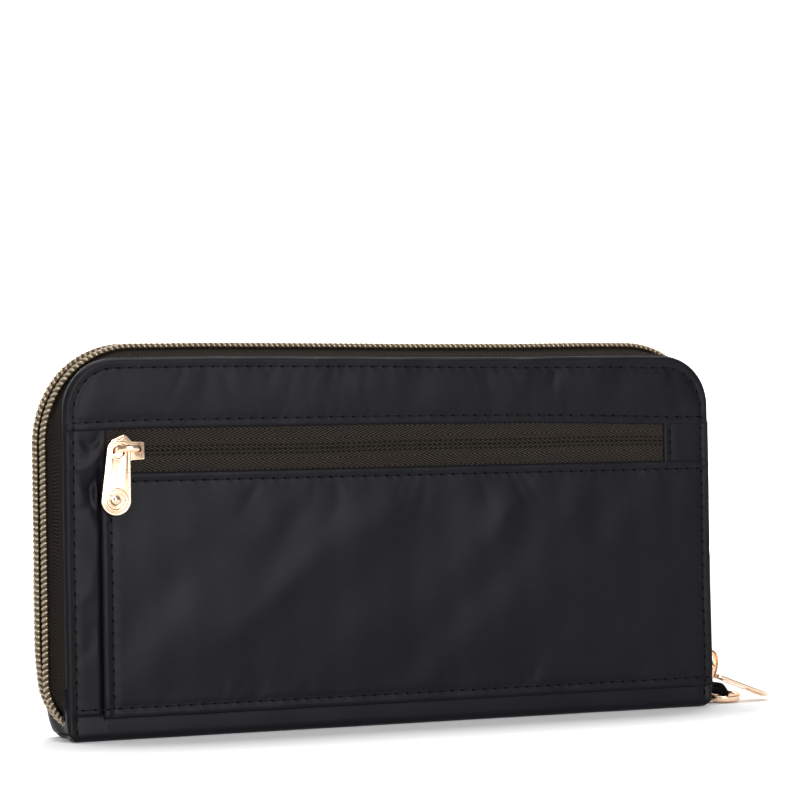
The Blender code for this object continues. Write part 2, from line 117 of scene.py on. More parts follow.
def turn_outwards(mesh, weld=0.0):
    """Turn a mesh's normals outwards, after welding points that are closer than weld."""
    shape = bmesh.new()
    shape.from_mesh(mesh)
    if weld > 0:
        bmesh.ops.remove_doubles(shape, verts=shape.verts, dist=weld)
    bmesh.ops.recalc_face_normals(shape, faces=shape.faces)
    shape.to_mesh(mesh)
    shape.free()


def make_object(name, verts, faces, material):
    """A smooth mesh object from points and faces."""
    mesh = bpy.data.meshes.new(name)
    mesh.from_pydata(np.asarray(verts, float).tolist(), [], [list(map(int, f)) for f in faces])
    turn_outwards(mesh)
    mesh.shade_smooth()
    mesh.materials.append(material)
    return add_to_scene(name, mesh)


def assign(thing, body, node=None):
    """Say which CAD node a piece replaces and the body it rides on."""
    if node:
        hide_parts(node)
    if body:
        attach(thing, body)


def grid_faces(rows, columns, start=0, wrap=False):
    """Quads over a grid of points stored row by row; wrap closes each row into a ring."""
    across = columns if wrap else columns - 1
    row, column = np.meshgrid(np.arange(rows - 1), np.arange(across), indexing="ij")
    after = (column + 1) % columns
    corners = [row * columns + column, row * columns + after]
    corners += [(row + 1) * columns + after, (row + 1) * columns + column]
    return np.stack([c.ravel() for c in corners], axis=1) + start


def sheet_solid(name, outer, inner, material, weave=None):
    """A closed thin solid between two grids of points.

    weave is each point's place along and across the cloth, for materials whose threads follow it.
    """
    rows, columns = outer.shape[:2]
    count = rows * columns
    index = np.arange(count).reshape(rows, columns)
    border = np.concatenate([index[0, :], index[1:, -1], index[-1, -2::-1], index[-2:0:-1, 0]])
    after = np.roll(border, -1)
    rim = np.stack([border, after, after + count, border + count], axis=1)
    faces = np.concatenate([grid_faces(rows, columns), grid_faces(rows, columns, count)[:, ::-1], rim])
    verts = np.concatenate([outer.reshape(-1, 3), inner.reshape(-1, 3)])
    thing = make_object(name, verts, faces, material)
    if weave is not None:
        along, across = (np.tile(np.ravel(values), 2) for values in weave)
        values = np.stack([along, across, np.zeros(2 * count)], axis=1)
        attribute = thing.data.attributes.new("weave", "FLOAT_VECTOR", "POINT")
        attribute.data.foreach_set("vector", values.astype(np.float32).ravel())
    return thing


def unit(vectors):
    return vectors / np.linalg.norm(vectors, axis=1, keepdims=True)


def run_along(line):
    """How far along a line of (x, z) points each of them is."""
    return np.concatenate([[0], np.cumsum(np.hypot(*np.diff(line, axis=0).T))])


def resample(line, run, at):
    """Points of an (x, z) line at other distances along it."""
    return np.stack([np.interp(at, run, line[:, k]) for k in (0, 1)], axis=1)


def in_space(line, y):
    """An (x, z) line's points at a given Y."""
    return np.stack([line[:, 0], np.broadcast_to(y, len(line)), line[:, 1]], axis=1)


def tube_points(points, radii, up, squash, sides):
    """Rings of points round a line; squash flattens the tube along up."""
    tangent = unit(np.gradient(points, axis=0))
    aside = unit(np.cross(tangent, np.broadcast_to(np.asarray(up, float), points.shape)))
    above = np.cross(aside, tangent)
    angle = np.arange(sides) * math.tau / sides
    ring = np.cos(angle)[None, :, None] * above[:, None, :] * squash
    ring += np.sin(angle)[None, :, None] * aside[:, None, :]
    return points[:, None, :] + ring * np.asarray(radii, float).reshape(-1, 1, 1)


def tubes(name, lines, material, sides=6):
    """One object of many closed tubes; each line is (points, radii, up, squash)."""
    verts, faces, total = [], [], 0
    for line in lines:
        verts.append(tube_points(*line, sides).reshape(-1, 3))
        rows = len(line[0])
        faces += grid_faces(rows, sides, total, wrap=True).tolist()
        faces += [[end * sides + total + k for k in range(sides)] for end in (0, rows - 1)]
        total += rows * sides
    return make_object(name, np.concatenate(verts), faces, material)


# ---- Materials ----
class Term:
    """A node's output, which adds, subtracts and multiplies like a number."""

    def __init__(self, nodes, socket):
        self.nodes = nodes
        self.socket = socket

    def __add__(self, other):
        return self.nodes.math("ADD", self, other)

    def __sub__(self, other):
        return self.nodes.math("SUBTRACT", self, other)

    def __mul__(self, other):
        return self.nodes.math("MULTIPLY", self, other)


class Nodes:
    """A material's node tree, with short calls to add and join its nodes."""

    def __init__(self, name, roughness, metallic=0.0):
        self.material = bpy.data.materials.new(name)
        self.material.use_nodes = True
        self.tree = self.material.node_tree
        self.shader = self.tree.nodes["Principled BSDF"]
        self.shade(Roughness=roughness, Metallic=metallic)

    def plug(self, value, socket):
        if isinstance(value, Term):
            self.tree.links.new(value.socket, socket)
        else:
            socket.default_value = value

    def add(self, kind, inputs, output=0, **settings):
        """A new node's output."""
        node = self.tree.nodes.new("ShaderNode" + kind)
        for key, value in settings.items():
            setattr(node, key, value)
        for key, value in inputs.items():
            self.plug(value, node.inputs[key])
        return Term(self, node.outputs[output])

    def shade(self, **values):
        """Set the shader's sockets, by a node or to what is the same all over."""
        for key, value in values.items():
            self.plug(value, self.shader.inputs[key.replace("_", " ")])

    def math(self, operation, first, second=0.0, third=0.0):
        return self.add("Math", {0: first, 1: second, 2: third}, operation=operation)

    def place(self):
        return self.add("TexCoord", {}, "Object")

    def weave(self):
        return self.add("Attribute", {}, "Vector", attribute_name="weave")

    def split(self, vector):
        parts = self.add("SeparateXYZ", {0: vector}).socket.node.outputs
        return [Term(self, part) for part in parts]

    def noise(self, vector, size, detail=3.0, stretch=(1.0, 1.0, 1.0)):
        """Noise whose blobs are about size across."""
        scaled = self.add("Mapping", {"Vector": vector, "Scale": tuple(s / size for s in stretch)})
        return self.add("TexNoise", {"Vector": scaled, "Scale": 1.0, "Detail": detail}, "Fac")

    def wave(self, value, period):
        """A sine of a length, from -1 to 1."""
        return self.math("SINE", value * (math.tau / period))

    def mix(self, factor, first, second):
        return self.add("Mix", {0: factor, 6: (*first, 1.0), 7: (*second, 1.0)}, 2, data_type="RGBA")

    def spread(self, value, low, high):
        """A 0 to 1 value stretched to low to high."""
        return self.math("MULTIPLY_ADD", value, high - low, low)

    def open_to_light(self, distance):
        """1 where a surface is open and near 0 deep in a crevice: the mask by which the metals paint shade
        into their colour.
        """
        return self.add("AmbientOcclusion", {"Distance": distance}, "AO", samples=4)

    def bump(self, height, depth, strength):
        """A bump whose height, from 0 to 1, stands for depth in metres."""
        return self.add("Bump", {"Height": height, "Distance": depth, "Strength": strength})


def satin_nylon(name, dark, light, roughness):
    """Fine twill: slanting threads crossed by a weaker set, with soft changes of tone and gloss."""
    n = Nodes(name, roughness)
    place = n.place()
    x, y, z = n.split(place)
    across = x + y
    twill = n.wave(across + z * 1.15, 0.62 * MM)
    threads = n.wave(z - across * 0.35, 0.43 * MM)
    grain = n.noise(place, 0.35 * MM, 2.0)
    slubs = n.noise(place, 2.2 * MM, 3.0, (0.25, 1.0, 1.0))
    tone = n.noise(place, 26 * MM, 2.0) * 0.45 + grain * 0.35 + slubs * 0.2
    gloss = n.noise(place, 14 * MM, 2.0) * 0.6 + grain * 0.4
    height = twill * 0.22 + threads * 0.12 + grain * 0.55 + slubs * 0.5
    n.shade(Base_Color=n.mix(tone, dark, light), Normal=n.bump(height, 0.06 * MM, 0.75))
    n.shade(Roughness=n.spread(gloss, roughness - 0.09, roughness + 0.12), IOR=1.2)
    n.shade(Sheen_Weight=0.015, Sheen_Roughness=0.4, Sheen_Tint=(0.75, 0.8, 0.95, 1.0))
    return n.material


def lining_cloth(name, dark, light):
    """Plain weave, seen inside."""
    n = Nodes(name, 0.72)
    place = n.place()
    x, y, z = n.split(place)
    height = n.wave(x + y, 0.5 * MM) * n.wave(z, 0.5 * MM) * 0.4 + n.noise(place, 0.6 * MM)
    tone = n.noise(place, 18 * MM)
    n.shade(Base_Color=n.mix(tone, dark, light), Normal=n.bump(height, 0.06 * MM, 0.6))
    n.shade(Sheen_Weight=0.04, Specular_IOR_Level=0.2)
    return n.material


def herringbone_tape(name, dark, light, rib, period, slant=1.1, dots_at=None):
    """Zip tape: slanting threads that turn at each rib, and a row of small stitches by the coil."""
    n = Nodes(name, 0.85)
    weave = n.weave()
    along, across, _ = n.split(weave)
    slanting = along + n.math("PINGPONG", across, rib) * slant
    threads = n.wave(slanting + n.noise(weave, 1.1 * MM, 2.0) * (0.5 * period), period)
    fine = n.wave(slanting, period / 3)
    grain = n.noise(weave, 0.5 * MM)
    height = threads * 0.4 + grain * 0.5 + fine * 0.2
    tone = n.spread(threads, 0.1, 0.65) + grain * 0.5 + fine * 0.15
    if dots_at is not None:
        near = n.math("COMPARE", n.math("ABSOLUTE", across), dots_at, 0.3 * MM)
        dots = near * n.math("GREATER_THAN", n.wave(along, COIL_PITCH), 0.0)
        height -= dots
        tone *= n.math("SUBTRACT", 1.0, dots * 0.85)
    n.shade(Base_Color=n.mix(tone, dark, light), Normal=n.bump(height, 0.2 * MM, 0.9))
    n.shade(Specular_IOR_Level=0.06)
    return n.material


def polished_metal(name, tint, roughness):
    """Plated metal with faint wear: fine scratches and cloudy gloss, and painted shade that darkens its
    crevices.
    """
    n = Nodes(name, roughness, 1.0)
    place = n.place()
    cloud = n.noise(place, 3 * MM)
    scratches = n.noise(place, 0.25 * MM, 2.0, (0.08, 1.0, 1.0))
    # painted shade: the colour turns to this darker tint where ambient occlusion finds a crevice
    crevice = tuple(c * d for c, d in zip(tint, (0.62, 0.34, 0.16)))
    openness = n.math("POWER", n.open_to_light(1.3 * MM), 1.5)
    n.shade(Base_Color=n.mix(openness * n.spread(cloud, 0.85, 1.0), crevice, tint))
    n.shade(Roughness=n.spread(cloud, roughness - 0.03, roughness + 0.06))
    n.shade(Normal=n.bump(scratches, 0.008 * MM, 0.4))
    return n.material


def coil_metal(name, tint, shade):
    """Metal-coated coil: bright strands whose coating is uneven, and painted shade that darkens them where
    they crowd together.
    """
    n = Nodes(name, 0.3, 1.0)
    place = n.place()
    patches = n.noise(place, 1.3 * MM)
    # painted shade: the colour falls towards the shade colour where ambient occlusion finds the strands
    # crowded
    openness = n.math("POWER", n.open_to_light(1.6 * MM), 1.2)
    n.shade(Base_Color=n.mix(openness * n.spread(patches, 0.6, 1.25), shade, tint))
    n.shade(Roughness=n.spread(patches, 0.3, 0.48))
    n.shade(Normal=n.bump(n.noise(place, 0.3 * MM), 0.02 * MM, 0.5))
    return n.material


def matte(name, dark, light, roughness, size, depth, specular=0.5):
    """A rough material with a grain of one size."""
    n = Nodes(name, roughness)
    grain = n.noise(n.place(), size)
    n.shade(Base_Color=n.mix(grain, dark, light), Normal=n.bump(grain, depth, 0.7))
    n.shade(Specular_IOR_Level=specular)
    return n.material


NYLON = satin_nylon("satin_nylon", (0.0020, 0.0018, 0.0030), (0.0064, 0.0060, 0.0088), 0.42)
LINING = lining_cloth("lining_cloth", (0.008, 0.008, 0.009), (0.018, 0.018, 0.020))
MAIN_TAPE = herringbone_tape(
    "main_zip_tape", (0.005, 0.004, 0.0034), (0.034, 0.027, 0.022), 2.6 * MM, 1.1 * MM
)
POCKET_TAPE = herringbone_tape(
    "pocket_zip_tape",
    (0.0055, 0.0045, 0.0037),
    (0.044, 0.037, 0.031),
    rib=3.1 * MM,
    period=1.75 * MM,
    slant=2.3,
    dots_at=1.2 * MM,
)
RIBBON = herringbone_tape("ribbon", (0.002, 0.0018, 0.0017), (0.010, 0.009, 0.008), 0.7 * MM, 0.9 * MM)
# the second colour is painted shade as well as the darker spots of the uneven coating
COIL = coil_metal("coil_metal", (0.42, 0.355, 0.265), (0.18, 0.115, 0.062))
DARK_COIL = matte("dark_coil", (0.010, 0.009, 0.008), (0.03, 0.027, 0.025), 0.5, 0.8 * MM, 0.02 * MM)
ROSE_GOLD = polished_metal("rose_gold", (0.96, 0.72, 0.52), 0.12)
STITCHES = matte(
    "thread", (0.005, 0.004, 0.0035), (0.016, 0.012, 0.010), 0.85, 0.25 * MM, 0.05 * MM, specular=0.05
)
# painted shade: near-black marks that stand for the shade inside the needle holes
HOLE_SHADE = matte(
    "needle_hole_shade", (0.0005, 0.0004, 0.0004), (0.002, 0.0016, 0.0014), 0.9, 0.2 * MM, 0.02 * MM, specular=0.05
)
CORD = matte("coil_cord", (0.045, 0.032, 0.020), (0.11, 0.08, 0.05), 0.9, 0.4 * MM, 0.05 * MM, specular=0.05)
BOARD = matte("board", (0.24, 0.23, 0.21), (0.34, 0.33, 0.31), 0.85, 1.5 * MM, 0.04 * MM)


# ---- Surfaces of the front ----
def smooth_step(value):
    value = np.clip(value, 0.0, 1.0)
    return value * value * (3 - 2 * value)


def ramp(distance, width):
    """From 0 to 1, smoothly, over a width in mm."""
    return smooth_step(distance / (width * MM))


def bell(distance, width):
    return np.exp(-((distance / width) ** 2))


def edge_distance(x, z, left, right, bottom, top, radius):
    """Distance in from the edge of a panel with round top corners."""
    straight = np.minimum(np.minimum(x - left, right - x), np.minimum(z - bottom, top - z))
    over = z - (top - radius)
    beside = np.maximum(left + radius - x, x - (right - radius))
    at_corner = (over > 0) & (beside > 0)
    return np.where(at_corner, radius - np.hypot(beside, over), straight)


def rounded_edge(distance, radius):
    """How far a face falls back near its edge."""
    inside = np.clip(1 - distance / radius, 0.0, 1.0)
    return radius * (1 - np.sqrt(1 - inside**2))


def ripples(x, z, seed, length, slant, count=9):
    """Soft folds from a few seeded waves; slant is the angle of their crests, in radians."""
    random = np.random.default_rng(seed)
    total = np.zeros_like(x)
    for _ in range(count):
        angle = slant + random.normal(0, 0.45)
        size = length * random.uniform(0.6, 1.7)
        phase = random.uniform(0, math.tau)
        total += np.sin((x * math.cos(angle) + z * math.sin(angle)) * math.tau / size + phase)
    return total / math.sqrt(count)


def drape(x, z, folds):
    """Long soft folds in the cloth: each is a line's two ends, a width and a height, in mm."""
    total = np.zeros_like(x)
    for x0, z0, x1, z1, width, height in np.array(folds) * MM:
        length = math.hypot(x1 - x0, z1 - z0)
        along = ((x - x0) * (x1 - x0) + (z - z0) * (z1 - z0)) / length**2
        aside = ((x - x0) * (z1 - z0) - (z - z0) * (x1 - x0)) / length
        aside += 1.2 * MM * np.sin(along * 4 + x0 * 90)
        fade = smooth_step((along + 0.25) / 0.5) * smooth_step((1.25 - along) / 0.5)
        total += height * bell(aside, width) * fade
    return total


def gathers(x, z, seam_z, direction, seed, count):
    """Short creases that run from a seam into the cloth, where the thread has drawn it up."""
    random = np.random.default_rng(seed)
    total = np.zeros_like(x)
    for _ in range(count):
        middle = random.uniform(-98, 100) * MM
        length = random.uniform(4, 11) * MM
        width = random.uniform(1.0, 2.2) * MM
        lean = random.normal(0.25, 0.35)
        away = (z - seam_z) * direction
        aside = x - middle - lean * (z - seam_z)
        fade = ramp(away, 1.5) * bell(np.maximum(away, 0), length)
        total += random.uniform(0.08, 0.23) * MM * bell(aside, width) * fade
    return total


PATCH_FOLDS = [
    (-30, 70, -48, 50, 5.0, -0.9),
    (-2, 74, -62, 30, 8.0, 1.1),
    (42, 73, 30, 58, 5.0, 0.9),
    (20, 73, -4, 36, 9.0, -0.9),
    (52, 52, 24, 26, 10.0, 0.9),
    (72, 76, 66, 56, 8.0, -0.7),
    (-22, 66, -57, 38, 4.0, -0.5),
]
BACK_FOLDS = [
    (-60, 96, -20, 60, 8.0, 0.7),
    (-5, 92, 40, 40, 10.0, -0.8),
    (70, 88, 52, 40, 7.0, 0.6),
    (-84, 60, -50, 20, 9.0, -0.7),
    (10, 50, 60, 16, 9.0, 0.7),
    (88, 60, 70, 22, 6.0, -0.5),
]


def arc_points(centre, radius, start, end, steps):
    angle = np.radians(np.linspace(start, end, steps))
    return np.stack([centre[0] + radius * np.cos(angle), centre[1] + radius * np.sin(angle)], axis=1)


def top_corners(corner, radius, steps):
    """Arcs about the centres of the two top corners, left first: what arc_points takes."""
    turns = ((-1, 180, 90), (1, 90, 0))
    return [((side * (HALF - corner), TOP - corner), radius, start, end, steps) for side, start, end in turns]


def edge_seam_line(low_z):
    """The stitching round a cover: up the left side, over the top, down the right."""
    reach = HALF - EDGE_SEAM
    left, right = (arc_points(*arc) for arc in top_corners(CORNER, CORNER - EDGE_SEAM, 13))
    line = np.concatenate([[(-reach, low_z)], left, [(0.0, TOP - EDGE_SEAM)], right, [(reach, low_z)]])
    x, z = line.T
    line[:, 1] -= 0.9 * MM * ramp(x - 20 * MM, 60) * ramp(z - 96 * MM, 12)
    return line


def seam_distance(x, z, line):
    """Distance from a seam line, and how far along it the nearest point is."""
    best = np.full(x.shape, 1.0)
    along = np.zeros(x.shape)
    run = 0.0
    for (x0, z0), (x1, z1) in zip(line[:-1], line[1:]):
        length = math.hypot(x1 - x0, z1 - z0)
        t = np.clip(((x - x0) * (x1 - x0) + (z - z0) * (z1 - z0)) / length**2, 0, 1)
        distance = np.hypot(x - x0 - t * (x1 - x0), z - z0 - t * (z1 - z0))
        nearer = distance < best
        best = np.where(nearer, distance, best)
        along = np.where(nearer, run + t * length, along)
        run += length
    return best, along


def level_seam(left, z):
    return np.array([(left, z), (HALF - SEAM_END, z)])


def upright_seam(x, low, high):
    return np.array([(x, low), (x, high)])


EDGE_SEAM_LINE = edge_seam_line(SEAM_END)
UPPER_SEAM_LINE = level_seam(-HALF + SEAM_END, UPPER_BOTTOM + 2.5 * MM)
PATCH_TOP_LINE = level_seam(PATCH_LOW.x + 0.8 * MM, PATCH_HIGH.z - TOP_FOLD_SEAM)
PATCH_LEFT_LINE = upright_seam(PATCH_LOW.x + FOLD_SEAM, PATCH_LOW.z + 1.2 * MM, PATCH_HIGH.z - 0.6 * MM)
PATCH_BOTTOM_LINE = level_seam(PATCH_LOW.x - 8.4 * MM, PATCH_LOW.z + 3 * MM)
TAB_LINE = upright_seam(TAB_LOW.x + 2.2 * MM, TAB_LOW.z + 0.5 * MM, TAB_HIGH.z - 0.3 * MM)


def pucker(x, z, lines, depth=0.32 * MM, width=1.0 * MM):
    """How far the thread pulls the cloth in along its seams."""
    total = np.zeros(x.shape)
    for line in lines:
        distance, along = seam_distance(x, z, line)
        beat = 1 + 0.35 * np.cos(math.tau * along / STITCH_PITCH)
        total = np.maximum(total, depth * beat * bell(distance, width))
    return total


def cover_edge(x, z, inset=0.0):
    """Distance in from a cover's edge; the rolled bottom isn't an edge."""
    return edge_distance(x, z, -HALF + inset, HALF - inset, -1.0, TOP - inset, CORNER - inset)


BESIDE_SLIDER_FOLDS = [
    (-108, 82.5, -98, 86.5, 1.3, 0.45),
    (-104, 78, -97.5, 79.5, 2.4, -0.9),
    (-100.5, 79, -100, 66, 1.4, -0.7),
    (-104, 90.5, -98.5, 90.5, 1.6, -0.7),
    (-108, 91, -99, 88, 1.0, 0.35),
    (-106, 70, -101, 74, 1.5, -0.3),
    (-105.5, 42, -100.5, 52, 2.0, 0.25),
    (-106, 25, -101, 34, 2.4, -0.25),
]


def shell_y(x, z):
    """The base panel of the front, seen left of the patch and below it."""
    y = np.full(x.shape, SHELL_FACE)
    y += (FACE - SHELL_FACE) * ramp(7 * MM - z, 5)
    y += rounded_edge(cover_edge(x, z), EDGE_ROUND)
    y += pucker(x, z, [EDGE_SEAM_LINE])
    into_pocket = ramp(x - PATCH_LOW.x - 1.2 * MM, 5)
    into_pocket *= ramp(z - PATCH_HIGH.z + 5 * MM, 4)
    into_pocket *= ramp(UPPER_BOTTOM + 4 * MM - z, 3)
    y += 2.7 * MM * into_pocket
    y -= drape(x, z, BESIDE_SLIDER_FOLDS)
    above_lip = z - PATCH_LOW.z - 1.6 * MM
    lip = ramp(-above_lip, 0.5) * ramp(above_lip + 4.5 * MM, 4)
    lip *= ramp(PATCH_LOW.x + 1 * MM - x, 1.5)
    y += 0.6 * MM * lip * ramp(x + HALF - 1.5 * MM, 2)
    gap = bell(x - PATCH_LOW.x - 0.1 * MM, 0.8 * MM) * ramp(z - PATCH_LOW.z, 3)
    y += 1.5 * MM * gap * ramp(PATCH_HIGH.z + 3 * MM - z, 8)
    return y + 0.16 * MM * ripples(x, z, SEED, 24 * MM, 1.2)


def folded_panel_y(x, z, distance, seams, seed, fold_edges, crown):
    """A sewn-on panel: rounded folded edges, puckered seams and soft folds."""
    y = np.full(x.shape, FACE) - crown
    y += rounded_edge(distance, 0.55 * MM)
    y += pucker(x, z, seams)
    for fold in fold_edges:
        y -= 0.22 * MM * bell(fold - 1.5 * MM, 0.9 * MM)
    return y + 0.12 * MM * ripples(x, z, seed, 22 * MM, -0.8)


def upper_y(x, z):
    edge = cover_edge(x, z, 0.3 * MM)
    distance = np.minimum(edge, z - UPPER_BOTTOM)
    middle = bell(z - UPPER_BOTTOM - 10.5 * MM, 7 * MM) * ramp(edge, 9)
    crown = 0.55 * MM * middle
    y = folded_panel_y(x, z, distance, [EDGE_SEAM_LINE, UPPER_SEAM_LINE], SEED + 1, [z - UPPER_BOTTOM], crown)
    y += gathers(x, z, TOP - TOP_GATHERS, -1, SEED + 10, 22)
    y += gathers(x, z, UPPER_BOTTOM + 3 * MM, 1, SEED + 11, 12) * 0.7
    return y + rounded_edge(edge, EDGE_ROUND) * 0.6


def patch_y(x, z):
    right = HALF - x
    left = x - PATCH_LOW.x
    distance = np.minimum(np.minimum(left, right), np.minimum(z - PATCH_LOW.z, PATCH_HIGH.z - z))
    wide = ramp(left, 40) * ramp(right, 40)
    high = ramp(z - PATCH_LOW.z, 30) * ramp(PATCH_HIGH.z - z, 22)
    crown = 1.3 * MM * wide * high
    seams = [EDGE_SEAM_LINE, PATCH_TOP_LINE, PATCH_LEFT_LINE, PATCH_BOTTOM_LINE]
    folds = [left, PATCH_HIGH.z - z, z - PATCH_LOW.z]
    y = folded_panel_y(x, z, distance, seams, SEED + 2, folds, crown)
    slanting = ripples(x, z, SEED + 3, 30 * MM, -0.75, 6) * ramp(np.minimum(left, right), 12)
    loose = ramp(PATCH_HIGH.z - 4 * MM - z, 9) * ramp(z - PATCH_LOW.z - 4 * MM, 9)
    y += gathers(x, z, PATCH_HIGH.z - 4 * MM, -1, SEED + 12, 16)
    y += gathers(x, z, PATCH_LOW.z + 4 * MM, 1, SEED + 13, 14) * 0.8
    return y + (0.12 * MM * slanting - 0.6 * drape(x, z, PATCH_FOLDS)) * loose


def tab_y(x, z):
    distance = np.minimum(x - TAB_LOW.x, HALF - x)
    y = folded_panel_y(x, z, distance, [EDGE_SEAM_LINE, TAB_LINE], SEED + 4, [x - TAB_LOW.x], 0.1 * MM)
    return y + 0.25 * MM


def front_y(x, z):
    """The outermost cloth of the front at each point."""
    y = shell_y(x, z)
    on_upper = z >= UPPER_BOTTOM
    on_tab = (x >= TAB_LOW.x) & (z > PATCH_HIGH.z) & ~on_upper
    on_patch = (x >= PATCH_LOW.x) & (z >= PATCH_LOW.z) & (z <= PATCH_HIGH.z)
    y = np.where(on_upper, upper_y(x, z), y)
    y = np.where(on_tab, tab_y(x, z), y)
    return np.where(on_patch, patch_y(x, z), y)


def back_y(x, z):
    """The plain outer panel of the back cover."""
    wide = ramp(HALF - np.abs(x), 45)
    high = ramp(z, 35) * ramp(TOP - z, 35)
    edge = cover_edge(x, z)
    inside = ramp(edge, 9)
    y = BACK - 0.5 * MM + 0.5 * MM * wide * high
    y -= rounded_edge(edge, EDGE_ROUND)
    y -= pucker(x, z, [EDGE_SEAM_LINE])
    y -= 0.2 * MM * ripples(x, z, SEED + 5, 34 * MM, 0.8) * inside
    y -= gathers(x, z, TOP - TOP_GATHERS, -1, SEED + 14, 22)
    return y + drape(x, z, BACK_FOLDS) * inside


TOP_RISE = [(-110, 0.9), (-60, 1.3), (-25, 1.0), (10, 0.6), (45, 0.45), (72, 0.7), (110, 0.4)]
SEAM_BOW = [(-110, 0.1), (-85, 0.9), (0, 1.0), (45, 0.7), (75, 0.0), (95, -0.7), (110, -0.9)]


def curve_at(x, curve):
    """A height at each x from a curve's (x, height) points, all in mm."""
    return np.interp(x, *(np.array(curve) * MM).T)


def settle(thing):
    """Give a cover piece the filled wallet's shape: a fuller right edge and an uneven top."""
    mesh = thing.data
    points = np.zeros(len(mesh.vertices) * 3, np.float32)
    mesh.vertices.foreach_get("co", points)
    points = points.reshape(-1, 3).astype(float)
    x, z = points[:, 0].copy(), points[:, 2].copy()
    points[:, 2] += curve_at(x, TOP_RISE) * ramp(z - 94 * MM, 20)
    points[:, 2] += curve_at(x, SEAM_BOW) * bell(z - UPPER_BOTTOM - 1.5 * MM, 5 * MM)
    points[:, 2] += 0.55 * MM * bell(z - PATCH_HIGH.z, 6 * MM) * ramp(x - PATCH_LOW.x + 3 * MM, 3)
    right = ramp(x - 60 * MM, 50)
    points[:, 0] += 1.0 * MM * right * ramp(z - 2 * MM, 20)
    points[:, 0] += 0.6 * MM * right * ramp(22 * MM - z, 20)
    points[:, 0] += 0.5 * MM * ramp(x - 95 * MM, 15) * bell(z - 8 * MM, 14 * MM)
    mesh.vertices.foreach_set("co", points.astype(np.float32).ravel())
    mesh.update()


# ---- Panels ----
def spaced(low, high, step, margin=3 * MM):
    """Positions from low to high, closer together near both ends."""
    near = np.array([0.0, 0.06, 0.16, 0.32, 0.55, 0.8, 1.2, 1.8, 2.4]) * MM
    near = near[near < min(margin, (high - low) / 3)]
    inner_low, inner_high = low + margin, high - margin
    if inner_high - inner_low < step:
        return np.unique(np.concatenate([low + near, high - near, [(low + high) / 2]]))
    middle = np.linspace(inner_low, inner_high, max(2, round((inner_high - inner_low) / step) + 1))
    return np.concatenate([low + near, middle, (high - near)[::-1]])


def with_fine(places, extra):
    """Add finer positions where a narrow crease needs them, without leaving slivers."""
    kept = places[np.abs(places[:, None] - extra[None, :]).min(axis=1) > 0.3 * MM]
    return np.sort(np.concatenate([kept, extra]))


def panel_grid(left, right, bottom, top, radius, step=1.0 * MM):
    """Grid points of an upright panel with round top corners: arrays of X and Z."""
    rows = spaced(bottom, top, step)
    share = (spaced(left, right, step) - left) / (right - left)
    over = np.clip(rows - (top - radius), 0, radius)
    cut = radius - np.sqrt(radius**2 - over**2)
    x = (left + cut)[:, None] + share[None, :] * (right - left - 2 * cut)[:, None]
    return x, np.broadcast_to(rows[:, None], x.shape).copy()


def upright(x, y, z):
    return np.stack([x, np.broadcast_to(y, x.shape), z], axis=2)


def sewn_panel(name, area, radius, surface):
    """A panel in the XZ plane from its outer surface to a flat inner side."""
    x, z = panel_grid(*area, radius)
    return sheet_solid(name, upright(x, surface(x, z), z), upright(x, FACE + SKIN, z), NYLON)


def drawn_in(z):
    """How far the back cover's lower left corner is pulled in by the end of the zip."""
    return 2.2 * MM * np.clip(1 - z / (15 * MM), 0, 1) ** 1.4


def cover_shell(name, side, surface):
    """A cover's outer cloth: from under the spine, round the rolled edge and up to the top."""
    step = 1.0 * MM
    under_y = np.linspace(6.3 * MM, HINGE_Y, 4)[:-1]
    roll = np.linspace(0, math.pi / 2, 9)
    rise = spaced(ROLL, TOP, step)[9:]
    columns = spaced(-HALF, HALF, step)
    if side == FRONT:
        rise = with_fine(rise, PATCH_LOW.z + np.arange(-1, 8) * 0.35 * MM)
        columns = with_fine(columns, PATCH_LOW.x + np.arange(-9, 6) * 0.4 * MM)
    profile_y = [under_y, HINGE_Y + ROLL * np.sin(roll) ** 0.75, np.full(len(rise), BACK)]
    profile_z = [np.full(len(under_y), 0.0), ROLL * (1 - np.cos(roll) ** 0.75), rise]
    profile_y, profile_z = (np.concatenate(parts)[:, None] for parts in (profile_y, profile_z))
    over = np.clip(profile_z - (TOP - CORNER), 0, CORNER)
    tuck = 1.8 * MM * np.clip(1 - profile_z / (4.5 * MM), 0, 1) ** 2
    half = HALF - (CORNER - np.sqrt(CORNER**2 - over**2)) - tuck
    x = -half + 2 * half * ((columns + HALF) / (2 * HALF))[None, :]
    if side == REAR:
        x += drawn_in(profile_z) * smooth_step(-x / HALF)
    z = np.broadcast_to(profile_z, x.shape).copy()
    upper = z > ROLL
    past_hinge = np.clip((profile_y - HINGE_Y) / ROLL, 0, 1)
    at_roll = profile_y - (BACK - np.abs(surface(x, np.full_like(z, ROLL))))
    y = np.where(upper, np.abs(surface(x, z)), at_roll)
    lift = rounded_edge(half - np.abs(x), 1.2 * MM)
    z = np.where(upper, z, z + lift * np.cos(np.arcsin(past_hinge)))
    inner_y = np.where(upper, y - SKIN, y - SKIN * past_hinge)
    inner_z = np.where(upper, z, z + SKIN * (1 - np.clip(z / ROLL, 0, 1)))
    return sheet_solid(name, upright(x, side * y, z), upright(x, side * inner_y, inner_z), NYLON)


def stitch_spans(line, offsets, more=0):
    """X and Z of a seam at some offsets from where each stitch starts; more adds stitches."""
    run = run_along(line)
    start = 0.5 * STITCH_PITCH
    for number in range(int((run[-1] - start) / STITCH_PITCH) + more):
        yield resample(line, run, (number + 0.5) * STITCH_PITCH + offsets).T


